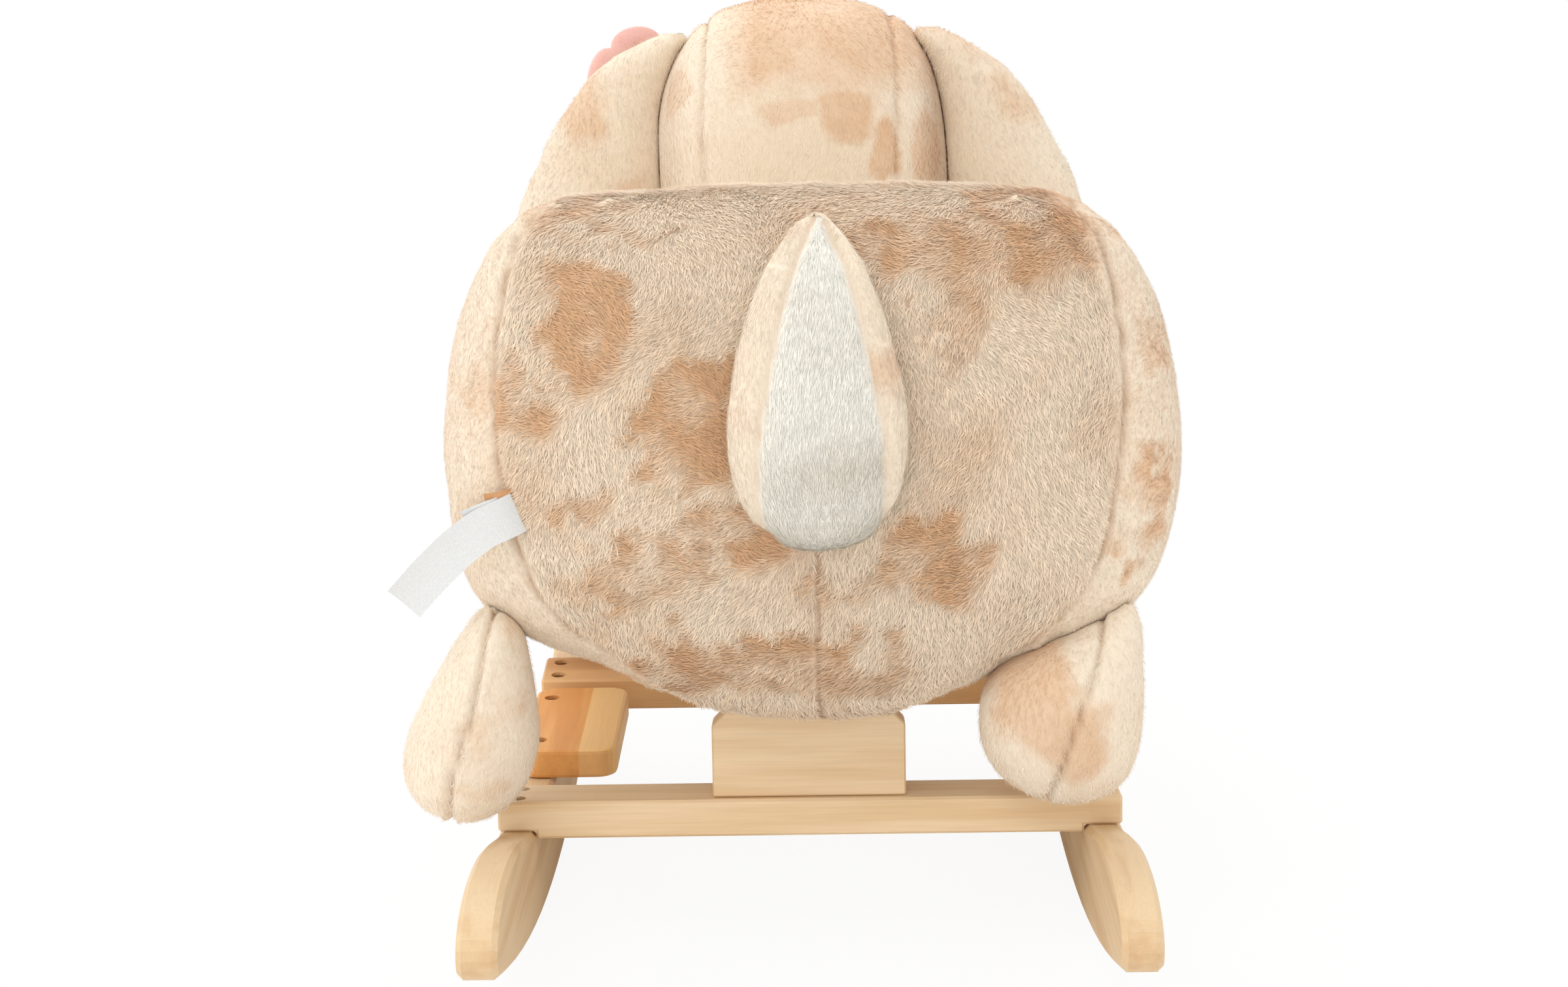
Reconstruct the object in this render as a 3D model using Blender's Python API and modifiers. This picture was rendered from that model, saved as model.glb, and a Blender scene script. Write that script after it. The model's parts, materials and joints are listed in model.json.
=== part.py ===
"""Plush rocking rabbit on a wooden rocker base.

Units are metres and +Z is up. The animal faces -Y, its left side is +X, and the floor is Z = 0.
The wooden base carries two upright boards, which hold the inner frame of the stuffed body.
"""
import math

import bmesh
import bpy
from mathutils import Matrix, Vector
from mathutils.bvhtree import BVHTree
from mathutils.geometry import interpolate_bezier

# Clearances between touching pieces
GAP = 0.0003
SCREW_CLEARANCE = 0.0004
LEG_GAP = 0.0006
SEAT_STEP = 0.00005

# Rocker base
BASE_WIDTH = 0.300
RUNNER_THICKNESS = 0.018
RUNNER_NOSE_Y = 0.292
RUNNER_NOSE_Z = 0.056
RUNNER_CREST_Y = 0.243
RUNNER_CREST_Z = 0.076
RUNNER_HEEL_INSET = 0.008
ROCK_RADIUS = 0.93
RUNNER_EDGE = 0.0025
ROCK_FACETS = 20

BAR_SPACING = 0.220
BAR_HEIGHT = 0.050
BAR_WIDTH = 0.036
BAR_THICKNESS = 0.018
BAR_TILT = math.radians(5.1)
BAR_REBATE = 0.0035
BAR_EDGE = 0.0012

FOOTREST_LENGTH = 0.108
FOOTREST_WIDTH = 0.050
FOOTREST_THICKNESS = 0.015
FOOTREST_FRONT_Y = -0.078
FOOTREST_CORNER = 0.010
FOOTREST_EDGE = 0.002

# Upright boards on the crossbars
UPRIGHT_WIDTH = 0.093
UPRIGHT_HEIGHT = 0.056
UPRIGHT_THICKNESS = 0.018
UPRIGHT_CHAMFER = 0.021
UPRIGHT_SETBACK = 0.004
UPRIGHT_EDGE = 0.0008

# Inner frame of the body
BOARD_THICKNESS = 0.010
SEAT_BOARD_WIDTH = 0.170
SEAT_BOARD_FRONT_REACH = 0.045
SEAT_BOARD_REAR_REACH = 0.012
BOARD_CORNER = 0.015
BACK_BOARD_WIDTH = 0.150
BACK_BOARD_TOP = 0.310
BACK_BOARD_INSET = 0.002
NECK_BOARD_WIDTH = 0.070
NECK_BOARD_RISE = 0.018
NECK_BOARD_Y = -0.160
HANDLE_Y = -0.142
HANDLE_DIAMETER = 0.022
HANDLE_LENGTH = 0.252
HANDLE_RISE = 0.038
KNOB_DIAMETER = 0.032
KNOB_LENGTH = 0.030
KNOB_BORE_DEPTH = 0.018

# Countersunk screws
SCREW_HEAD_DIAMETER = 0.0074
SCREW_HEAD_DEPTH = 0.0024
SCREW_RECESS = 0.0016
SCREW_SHANK_DIAMETER = 0.0038
SCREW_LENGTH = 0.034
SCREW_PITCH = 0.019
FOOTREST_SCREW_PITCH = 0.071
UPRIGHT_SCREW_PITCH = 0.050
BOARD_SCREW_PITCH = 0.030

# Stuffed body
PLUSH_CENTRE_X = -0.003
RUMP_WIDTH = 0.345
RUMP_TOP = 0.3635
RUMP_BOTTOM = 0.110
RUMP_MIDDLE = 0.235
RUMP_UPPER_POWERS = (6.0, 2.0)
RUMP_LOWER_POWERS = (1.6, 2.8)
RUMP_WIDEST_Y = 0.115
RUMP_REAR_Y = 0.184
SEAT_BACK_Y = 0.070
RUMP_FACE_SHARE = 0.90

BELLY_WIDTH = 0.310
BELLY_BOTTOM = 0.108
BELLY_MIDDLE = 0.185
BELLY_TOP = 0.246
SEAT_HEIGHT = 0.235
SEAT_FRONT_Y = -0.080
CHEST_WIDTH = 0.270
CHEST_FRONT_Y = -0.234
CHEST_HEIGHT = 0.258
CHEST_TOP = 0.270

BOLSTER_WIDTH = 0.070
BOLSTER_INNER_X = 0.088
BOLSTER_HEIGHT_REAR = 0.300
BOLSTER_HEIGHT_FRONT = 0.276
BOLSTER_MIDDLE = 0.258

HEAD_WIDTH = 0.164
HEAD_DEPTH = 0.160
HEAD_CENTRE_Y = -0.186
HEAD_TOP = 0.434
HEAD_WIDEST_Z = 0.335
HEAD_BASE_SHARE = 0.84

MUZZLE_CENTRE = Vector((0.0, -0.248, 0.312))
MUZZLE_SIZE = Vector((0.088, 0.076, 0.066))
NOSE_SIZE = Vector((0.026, 0.012, 0.017))
NOSE_HEIGHT = 0.331
EYE_DIAMETER = 0.015
EYE_DEPTH = 0.008
EYE_SPREAD = 0.100
EYE_HEIGHT = 0.348

# Ears, in the plane that the leaf hangs in
EAR_PLANE_Y = -0.178
EAR_ROOT_X = 0.083
EAR_ROOT_Z = 0.407
EAR_LENGTH = 0.160
EAR_WIDTH = 0.084
EAR_ROOT_WIDTH = 0.034
EAR_THICKNESS = 0.034
EAR_FLARE = 0.040

PETAL_COUNT = 5
PETAL_THICKNESS = 0.009
PETAL_NOTCH = 0.45
FLOWER_DIAMETER = 0.056
FLOWER_CENTRE_DIAMETER = 0.017
FLOWER_X = 0.098
FLOWER_Z = 0.388
FLOWER_TURN = math.radians(-17)
FLOWER_LEAN = math.radians(30)

TAIL_HEIGHT = 0.131
TAIL_WIDTH = 0.082
TAIL_WIDEST_SHARE = 0.3
TAIL_THICKNESS = 0.040
TAIL_ROOT_RADIUS = 0.017
TAIL_ROOT_Z = 0.224
TAIL_BEND = 0.042

# Limbs: root dome, belly of the pear and length below the root
LEG_ROOT_RADIUS = 0.021
LEG_THICKNESS = 0.062
LEG_BREADTH = 0.074
LEG_BELLY_SHARE = 0.62
REAR_LEG_LEFT_X = 0.153
REAR_LEG_LEFT_Y = 0.143
REAR_LEG_LEFT_SPLAY = math.radians(13)
REAR_LEG_LEFT_LENGTH = 0.086
REAR_LEG_RIGHT_X = 0.146
REAR_LEG_RIGHT_Y = 0.144
REAR_LEG_RIGHT_TUCK = math.radians(20)
REAR_LEG_RIGHT_LENGTH = 0.070
FRONT_LEG_LENGTH = 0.050
FRONT_LEG_X = 0.128
FRONT_LEG_Y = -0.134
FRONT_LEG_SPLAY = math.radians(12)

# Sewn-in labels, on the left seam of the rump
LABEL_THICKNESS = 0.0008
LABEL_WIDTH = 0.023
LABEL_BOW = 0.004
LABEL_LENGTH = 0.073
LABEL_SHORT_LENGTH = 0.038
TAG_WIDTH = 0.016
TAG_LENGTH = 0.011
LABEL_X = 0.143
LABEL_Z = 0.208
LABEL_DROP = math.radians(42)
SHORT_LABEL_LIFT = 0.009
TAG_LIFT = 0.016

# Fineness and squareness of the stuffed sections
RING_POINTS = 26
LIMB_POINTS = 16
ROUND = (2.0, 2.0)

# Seat board past the crossbars that carry it, and the back board at its rear
SEAT_BOARD_FRONT_Y = -BAR_SPACING / 2 - SEAT_BOARD_FRONT_REACH
SEAT_BOARD_REAR_Y = BAR_SPACING / 2 + SEAT_BOARD_REAR_REACH
BACK_BOARD_Y = BAR_SPACING / 2 - BACK_BOARD_INSET

# Handle above the chest, and the neck board that carries it
HANDLE_HEIGHT = CHEST_HEIGHT + HANDLE_RISE
NECK_BOARD_TOP = HANDLE_HEIGHT + HANDLE_DIAMETER / 2 + NECK_BOARD_RISE

# Frame origin: the middle of the widest reach in X, on the floor
LABEL_REACH_X = (PLUSH_CENTRE_X + LABEL_X + LABEL_LENGTH * math.cos(LABEL_DROP)
                 + LABEL_WIDTH / 2 * math.sin(LABEL_DROP))
ORIGIN_X = 0.5 * (LABEL_REACH_X - (RUMP_WIDTH / 2 - PLUSH_CENTRE_X))

WOOD = (0.80, 0.62, 0.40, 1.0)
WOOD_ORANGE = (0.70, 0.43, 0.19, 1.0)
PLYWOOD = (0.74, 0.58, 0.38, 1.0)
STEEL = (0.50, 0.50, 0.52, 1.0)
PLUSH = (0.77, 0.62, 0.45, 1.0)
PLUSH_LIGHT = (0.86, 0.84, 0.78, 1.0)
PINK = (0.88, 0.53, 0.48, 1.0)
BLACK = (0.02, 0.015, 0.012, 1.0)
NOSE_BROWN = (0.35, 0.20, 0.14, 1.0)
WHITE = (0.88, 0.88, 0.88, 1.0)
TAN = (0.62, 0.38, 0.18, 1.0)


def clear_scene():
    """Remove the objects that a new file starts with."""
    for item in list(bpy.data.objects):
        bpy.data.objects.remove(item, do_unlink=True)


def make_collection(name):
    group = bpy.data.collections.new(name)
    bpy.context.scene.collection.children.link(group)
    return group


def material(name, colour, roughness, metallic=0.0):
    """A Principled material with a plain colour."""
    mat = bpy.data.materials.new(name)
    mat.use_nodes = True
    shader = mat.node_tree.nodes["Principled BSDF"]
    shader.inputs["Base Color"].default_value = colour
    shader.inputs["Roughness"].default_value = roughness
    shader.inputs["Metallic"].default_value = metallic
    mat.diffuse_color = colour
    return mat


def add_object(name, bm, group, finish=None):
    """Turn a bmesh into a named object with its faces pointing out."""
    bmesh.ops.recalc_face_normals(bm, faces=bm.faces)
    mesh = bpy.data.meshes.new(name)
    bm.to_mesh(mesh)
    bm.free()
    item = bpy.data.objects.new(name, mesh)
    group.objects.link(item)
    if finish:
        colour, roughness, metallic = finish
        mesh.materials.append(material(name + "_finish", colour, roughness, metallic))
    return item


def as_guide(item):
    """Show a cutter as a wire frame and keep it out of renders."""
    item.display_type = "WIRE"
    item.hide_render = True
    return item


def smooth(item, angle=math.radians(40)):
    item.data.shade_smooth()
    item.data.set_sharp_from_angle(angle=angle)
    return item


def bevel(item, width, segments=2, angle=math.radians(35)):
    """Round the sharp edges of a piece."""
    mod = item.modifiers.new("rounded_edges", "BEVEL")
    mod.width = width
    mod.segments = segments
    mod.limit_method = "ANGLE"
    mod.angle_limit = angle
    mod.use_clamp_overlap = True
    return item


def cut(item, cutter):
    """Take a cutter's volume away from a piece."""
    mod = item.modifiers.new("cut_" + cutter.name, "BOOLEAN")
    mod.operation = "DIFFERENCE"
    mod.solver = "EXACT"
    mod.object = cutter
    return item


def evaluated_tree(item):
    bpy.context.view_layer.update()
    graph = bpy.context.evaluated_depsgraph_get()
    tree_mesh = item.evaluated_get(graph).to_mesh()
    points = [item.matrix_world @ v.co for v in tree_mesh.vertices]
    faces = [tuple(p.vertices) for p in tree_mesh.polygons]
    return points, BVHTree.FromPolygons(points, faces)


def travel_to(item, carrier, direction):
    """How far a piece can slide along a direction before it meets its carrier."""
    way = direction.normalized()
    points, tree = evaluated_tree(item)
    carrier_points, carrier_tree = evaluated_tree(carrier)
    reach = []
    for point in points:
        hit = carrier_tree.ray_cast(point, way)
        if hit[0] is not None:
            reach.append(hit[3])
    for point in carrier_points:
        hit = tree.ray_cast(point, -way)
        if hit[0] is not None:
            reach.append(hit[3])
    return min(reach) if reach else 0.0


def seat_on(item, carrier, direction, gap=GAP):
    """Slide a piece up to its carrier and leave the gap between them."""
    way = direction.normalized()
    item.location += way * travel_to(item, carrier, way)
    while evaluated_tree(item)[1].overlap(evaluated_tree(carrier)[1]):
        item.location -= way * SEAT_STEP
    item.location -= way * gap
    bpy.context.view_layer.update()


def prism(name, outline, thickness, group, finish, axis="X"):
    """A closed outline given a thickness, centred on the plane that it is drawn in."""
    bm = bmesh.new()
    half = thickness / 2
    place = {
        "X": lambda a, b, t: (t, a, b),
        "Y": lambda a, b, t: (a, t, b),
        "Z": lambda a, b, t: (a, b, t),
    }[axis]
    low = [bm.verts.new(place(a, b, -half)) for a, b in outline]
    face = bm.faces.new(low)
    grown = bmesh.ops.extrude_face_region(bm, geom=[face])
    moved = [v for v in grown["geom"] if isinstance(v, bmesh.types.BMVert)]
    bmesh.ops.translate(bm, verts=moved, vec=Vector(place(0.0, 0.0, thickness)))
    return add_object(name, bm, group, finish)


def rounded_rectangle(width, length, radius, steps=5):
    """Outline of a rectangle about the origin with round corners."""
    points = []
    for turn, (sx, sy) in enumerate(((1, 1), (-1, 1), (-1, -1), (1, -1))):
        centre = (sx * (width / 2 - radius), sy * (length / 2 - radius))
        for step in range(steps + 1):
            angle = math.pi / 2 * (turn + step / steps)
            points.append((centre[0] + radius * math.cos(angle),
                           centre[1] + radius * math.sin(angle)))
    return points


def cylinder(name, radius, length, group, finish=None, segments=24):
    """A cylinder about Z with its middle at the origin."""
    bm = bmesh.new()
    bmesh.ops.create_cone(bm, cap_ends=True, segments=segments, radius1=radius,
                          radius2=radius, depth=length)
    return add_object(name, bm, group, finish)


def superellipse(half_width, up, down, count, upper_powers, lower_powers):
    """Closed ring about the origin; each half has a height and a power across and along it."""
    ring = []
    for index in range(count):
        angle = 2 * math.pi * index / count
        c, s = math.cos(angle), math.sin(angle)
        across, along = upper_powers if s >= 0 else lower_powers
        height = up if s >= 0 else down
        ring.append((half_width * math.copysign(abs(c) ** (2 / across), c),
                     height * math.copysign(abs(s) ** (2 / along), s)))
    return ring


def loft(name, rings, group, finish):
    """A closed skin over rings of equally many points, with a flat cap at each end."""
    bm = bmesh.new()
    rows = [[bm.verts.new(p) for p in ring] for ring in rings]
    count = len(rows[0])
    for lower, upper in zip(rows, rows[1:]):
        for i in range(count):
            j = (i + 1) % count
            bm.faces.new((lower[i], lower[j], upper[j], upper[i]))
    bm.faces.new(rows[0])
    bm.faces.new(rows[-1])
    return smooth(add_object(name, bm, group, finish))


def swell(share, power):
    """Size of a cushion's section at a share of the way from its middle to its end."""
    return max(0.0, 1 - share ** power) ** (1 / power)


def leaf(name, line, across_sizes, side_sizes, side, power, group, finish):
    """A flat stuffed leaf along a line, with its half sizes across the line and to its side."""
    rings = []
    for index, point in enumerate(line):
        before = line[max(index - 1, 0)]
        after = line[min(index + 1, len(line) - 1)]
        along = (after - before).normalized()
        across = along.cross(side).normalized()
        rings.append([point + across * a + side * b
                      for a, b in superellipse(across_sizes[index], side_sizes[index],
                                               side_sizes[index], LIMB_POINTS,
                                               (power, power), (power, power))])
    return loft(name, rings, group, finish)


def rock_height(y):
    """Height of the runner's rocking edge over the floor."""
    return ROCK_RADIUS - math.sqrt(ROCK_RADIUS ** 2 - y ** 2)


def runner_top(y):
    """Height of the runner's hollow upper edge, which carries the tilted crossbars."""
    radius = (BAR_SPACING / 2) / math.sin(BAR_TILT)
    seat = BAR_HEIGHT + BAR_REBATE - GAP
    centre = seat + radius * math.cos(BAR_TILT)
    return centre - math.sqrt(radius ** 2 - y ** 2)


def runner_outline():
    """Outline of a runner in the YZ plane, drawn for the rear half and mirrored."""
    heel_y = RUNNER_NOSE_Y - RUNNER_HEEL_INSET
    shoulder_y = BAR_SPACING / 2 + BAR_WIDTH / 2
    half_facets = ROCK_FACETS // 2
    points = [(heel_y * i / half_facets, rock_height(heel_y * i / half_facets))
              for i in range(half_facets + 1)]
    nose = Vector((RUNNER_NOSE_Y, RUNNER_NOSE_Z, 0))
    crest = Vector((RUNNER_CREST_Y, RUNNER_CREST_Z, 0))
    heel = Vector((heel_y, rock_height(heel_y), 0))
    shoulder = Vector((shoulder_y, runner_top(shoulder_y), 0))
    rise = heel_y / math.sqrt(ROCK_RADIUS ** 2 - heel_y ** 2)
    drop = nose.z + nose.y - heel.y
    stretches = (
        (heel, heel + Vector((1, rise, 0)) * RUNNER_HEEL_INSET * 0.6,
         nose - Vector((0, 0.6 * drop, 0)), nose, 5),
        (nose, nose + Vector((0, 0.6 * (crest.y - nose.y), 0)),
         crest + Vector((0.53 * (nose.x - crest.x), 0, 0)), crest, 9),
        (crest, crest - Vector((0.44 * (crest.x - shoulder.x), 0, 0)),
         shoulder + Vector((0.35, 0.07, 0)) * (crest.x - shoulder.x), shoulder, 10),
    )
    for start, first, second, end, steps in stretches:
        points += [(p.x, p.y) for p in interpolate_bezier(start, first, second, end, steps)[1:]]
    inner = 6
    points += [(shoulder_y * i / inner, runner_top(shoulder_y * i / inner))
               for i in range(inner - 1, 0, -1)]
    mirrored = [(-y, z) for y, z in reversed(points[1:])]
    return points + [(0.0, runner_top(0.0))] + mirrored


def bar_frame(side):
    """Placement of a crossbar: side is 1 at the rear and -1 at the front."""
    return (Matrix.Translation((0, side * BAR_SPACING / 2, BAR_HEIGHT))
            @ Matrix.Rotation(side * BAR_TILT, 4, "X"))


def make_base(parts):
    """Runners, crossbars and footrests."""
    wood = (WOOD, 0.55, 0.0)
    pieces = {}
    for name, side in (("runner_left", 1), ("runner_right", -1)):
        runner = prism(name, runner_outline(), RUNNER_THICKNESS, parts, wood)
        runner.location.x = side * (BASE_WIDTH - RUNNER_THICKNESS) / 2
        pieces[name] = bevel(runner, RUNNER_EDGE, 1)

    half = BASE_WIDTH / 2
    inner = half - RUNNER_THICKNESS - GAP
    profile = [(-half, BAR_REBATE), (-inner, BAR_REBATE), (-inner, 0), (inner, 0),
               (inner, BAR_REBATE), (half, BAR_REBATE), (half, BAR_THICKNESS),
               (-half, BAR_THICKNESS)]
    for name, side in (("rear_crossbar", 1), ("front_crossbar", -1)):
        bar = prism(name, profile, BAR_WIDTH, parts, wood, "Y")
        bar.matrix_world = bar_frame(side)
        pieces[name] = bevel(bar, BAR_EDGE, 1)

    rear_y = FOOTREST_FRONT_Y + FOOTREST_LENGTH
    slope = math.atan2(runner_top(rear_y) - runner_top(FOOTREST_FRONT_Y), FOOTREST_LENGTH)
    for name, side in (("footrest_left", 1), ("footrest_right", -1)):
        outline = rounded_rectangle(FOOTREST_WIDTH, FOOTREST_LENGTH, FOOTREST_CORNER)
        rest = prism(name, outline, FOOTREST_THICKNESS, parts, (WOOD_ORANGE, 0.5, 0.0), "Z")
        rest.rotation_euler.x = slope
        rest.location = (side * (half - FOOTREST_WIDTH / 2),
                         FOOTREST_FRONT_Y + FOOTREST_LENGTH / 2,
                         BAR_HEIGHT + BAR_WIDTH)
        bevel(rest, FOOTREST_EDGE)
        seat_on(rest, pieces["runner_left" if side > 0 else "runner_right"], Vector((0, 0, -1)))
        pieces[name] = rest
    return pieces


def make_uprights(parts, pieces):
    """Chamfered boards that stand on the crossbars."""
    half, cham = UPRIGHT_WIDTH / 2, UPRIGHT_CHAMFER
    outline = [(-half, 0), (half, 0), (half, UPRIGHT_HEIGHT - cham),
               (half - cham, UPRIGHT_HEIGHT), (cham - half, UPRIGHT_HEIGHT),
               (-half, UPRIGHT_HEIGHT - cham)]
    inset = (BAR_WIDTH - UPRIGHT_THICKNESS) / 2 - UPRIGHT_SETBACK
    for name, side in (("rear_upright", 1), ("front_upright", -1)):
        board = prism(name, outline, UPRIGHT_THICKNESS, parts, (WOOD, 0.55, 0.0), "Y")
        board.matrix_world = bar_frame(side) @ Matrix.Translation(
            (0, side * inset, BAR_THICKNESS + GAP))
        pieces[name] = bevel(board, UPRIGHT_EDGE, 1)


def make_inner_frame(parts, pieces):
    """Plywood seat, back and neck boards inside the stuffing, and the handle."""
    ply = (PLYWOOD, 0.6, 0.0)
    length = SEAT_BOARD_REAR_Y - SEAT_BOARD_FRONT_Y
    seat = prism("seat_board", rounded_rectangle(SEAT_BOARD_WIDTH, length, BOARD_CORNER),
                 BOARD_THICKNESS, parts, ply, "Z")
    seat.location = (0, (SEAT_BOARD_REAR_Y + SEAT_BOARD_FRONT_Y) / 2, RUMP_MIDDLE)
    seat_on(seat, pieces["rear_upright"], Vector((0, 0, -1)))
    pieces["seat_board"] = seat
    top = seat.location.z + BOARD_THICKNESS / 2 + GAP

    for name, width, reach, y, across in (
            ("back_board", BACK_BOARD_WIDTH, BACK_BOARD_TOP, BACK_BOARD_Y, "Y"),
            ("neck_board", NECK_BOARD_WIDTH, NECK_BOARD_TOP, NECK_BOARD_Y, "X")):
        board = prism(name, rounded_rectangle(width, reach - top, BOARD_CORNER),
                      BOARD_THICKNESS, parts, ply, across)
        board.location = (0, y, (top + reach) / 2)
        pieces[name] = board

    bar = cylinder("handle_bar", HANDLE_DIAMETER / 2, HANDLE_LENGTH, parts, (WOOD, 0.5, 0.0))
    bar.rotation_euler.y = math.pi / 2
    bar.location = (0, HANDLE_Y, HANDLE_HEIGHT)
    pieces["handle_bar"] = smooth(bar)

    for name, side in (("handle_knob_left", 1), ("handle_knob_right", -1)):
        pieces[name] = make_knob(name, side, parts)


def make_knob(name, side, parts):
    """Turned wooden knob with a blind bore that takes the end of the handle."""
    bore = HANDLE_DIAMETER / 2 + GAP
    radius = KNOB_DIAMETER / 2
    neck = bore + 0.0026
    steps = 8
    profile = [(0.0, KNOB_LENGTH)]
    round_length = KNOB_LENGTH * 0.72
    for i in range(1, steps + 1):
        angle = math.pi / 2 * i / steps
        profile.append((radius * math.sin(angle),
                        KNOB_LENGTH - round_length * (1 - math.cos(angle))))
    profile += [(neck, 0.0), (bore, 0.0), (bore, KNOB_BORE_DEPTH), (0.0, KNOB_BORE_DEPTH)]
    bm = bmesh.new()
    verts = [bm.verts.new((r, 0, z)) for r, z in profile]
    edges = [bm.edges.new(pair) for pair in zip(verts, verts[1:])]
    bmesh.ops.spin(bm, geom=verts + edges, cent=(0, 0, 0), axis=(0, 0, 1),
                   angle=2 * math.pi, steps=24, use_merge=True)
    bmesh.ops.remove_doubles(bm, verts=bm.verts, dist=0.00001)
    knob = add_object(name, bm, parts, (WOOD_ORANGE, 0.45, 0.0))
    knob.rotation_euler.y = side * math.pi / 2
    start = HANDLE_LENGTH / 2 - KNOB_BORE_DEPTH + GAP
    knob.location = (side * start, HANDLE_Y, HANDLE_HEIGHT)
    return smooth(knob)


def screw_mesh(name, group, length, clearance=0.0, recess=0.0):
    """A countersunk screw along -Z, its head's face at the origin.

    With a clearance it is the cutter for the screw's own hole, open above by the recess.
    """
    head = SCREW_HEAD_DIAMETER / 2 + clearance
    shank = SCREW_SHANK_DIAMETER / 2 + clearance
    profile = [(0.0, recess)] if recess else [(0.0, 0.0)]
    if recess:
        profile.append((head, recess))
    profile += [(head, 0.0), (shank, -SCREW_HEAD_DEPTH), (shank, -length + shank - clearance),
                (0.0, -length - clearance)]
    bm = bmesh.new()
    verts = [bm.verts.new((r, 0, z)) for r, z in profile]
    edges = [bm.edges.new(pair) for pair in zip(verts, verts[1:])]
    bmesh.ops.spin(bm, geom=verts + edges, cent=(0, 0, 0), axis=(0, 0, 1),
                   angle=2 * math.pi, steps=12, use_merge=True)
    bmesh.ops.remove_doubles(bm, verts=bm.verts, dist=0.00001)
    finish = None if clearance else (STEEL, 0.35, 1.0)
    return add_object(name, bm, group, finish)


def drive_screws(name, frames, holders, length, parts, cutters):
    """Place one screw at each frame, sunk below the surface, and bore its holders for it."""
    for index, (frame, bored) in enumerate(zip(frames, holders), start=1):
        sunk = frame @ Matrix.Translation((0, 0, -SCREW_RECESS))
        screw = screw_mesh(f"{name}_{index}", parts, length)
        screw.matrix_world = sunk
        cutter = screw_mesh(f"{name}_bore_{index}", cutters, length, SCREW_CLEARANCE,
                            SCREW_RECESS + SCREW_HEAD_DEPTH)
        cutter.matrix_world = sunk
        as_guide(cutter)
        for holder in bored:
            cut(holder, cutter)


def make_screws(parts, cutters, pieces):
    """Countersunk screws of the base and of the inner frame."""
    runner_x = (BASE_WIDTH - RUNNER_THICKNESS) / 2
    frames, holders = [], []
    for bar, side in (("rear_crossbar", 1), ("front_crossbar", -1)):
        for runner, x in (("runner_left", runner_x), ("runner_right", -runner_x)):
            for step in (-1, 1):
                frames.append(bar_frame(side) @ Matrix.Translation(
                    (x, step * SCREW_PITCH / 2, BAR_THICKNESS)))
                holders.append((pieces[bar], pieces[runner]))
    drive_screws("crossbar_screw", frames, holders, SCREW_LENGTH, parts, cutters)

    frames, holders = [], []
    for name, side in (("footrest_left", 1), ("footrest_right", -1)):
        rest = pieces[name]
        runner = pieces["runner_left" if side > 0 else "runner_right"]
        for step in (-1, 1):
            frames.append(rest.matrix_world @ Matrix.Translation(
                (side * (FOOTREST_WIDTH - RUNNER_THICKNESS) / 2,
                 step * FOOTREST_SCREW_PITCH / 2, FOOTREST_THICKNESS / 2)))
            holders.append((rest, runner))
    drive_screws("footrest_screw", frames, holders, SCREW_LENGTH, parts, cutters)

    turned = Matrix.Rotation(math.pi, 4, "X")
    inset = (BAR_WIDTH - UPRIGHT_THICKNESS) / 2 - UPRIGHT_SETBACK
    frames, holders = [], []
    for bar, upright, side in (("rear_crossbar", "rear_upright", 1),
                               ("front_crossbar", "front_upright", -1)):
        for step in (-1, 1):
            frames.append(bar_frame(side) @ Matrix.Translation(
                (step * UPRIGHT_SCREW_PITCH / 2, side * inset, 0)) @ turned)
            holders.append((pieces[bar], pieces[upright]))
    drive_screws("upright_screw", frames, holders, SCREW_LENGTH, parts, cutters)

    seat = pieces["seat_board"]
    top = seat.location.z + BOARD_THICKNESS / 2
    frames, holders = [], []
    for name, side in (("rear_upright", 1), ("front_upright", -1)):
        upright = pieces[name].matrix_world @ Vector((0, 0, UPRIGHT_HEIGHT))
        for step in (-1, 1):
            frames.append(Matrix.Translation((step * BOARD_SCREW_PITCH / 2, upright.y, top)))
            holders.append((seat, pieces[name]))
    drive_screws("board_screw", frames, holders, SCREW_LENGTH * 0.8, parts, cutters)


def box_cutter(name, low, high, cutters):
    """A box between two corners that cuts a slot."""
    bm = bmesh.new()
    bmesh.ops.create_cube(bm, size=1.0)
    size = Vector(high) - Vector(low)
    bmesh.ops.scale(bm, vec=size, verts=bm.verts)
    bmesh.ops.translate(bm, vec=(Vector(high) + Vector(low)) / 2, verts=bm.verts)
    return as_guide(add_object(name, bm, cutters))


def body_ring(y, half_width, top, bottom, middle, powers, flat_top=None):
    """One section of the stuffed body across Y; flat_top levels it for a seat."""
    ring = superellipse(half_width, top - middle, middle - bottom, RING_POINTS, *powers)
    points = []
    for x, z in ring:
        height = middle + z
        if flat_top is not None:
            height = min(height, flat_top)
        points.append(Vector((PLUSH_CENTRE_X + x, y, height)))
    return points


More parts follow.
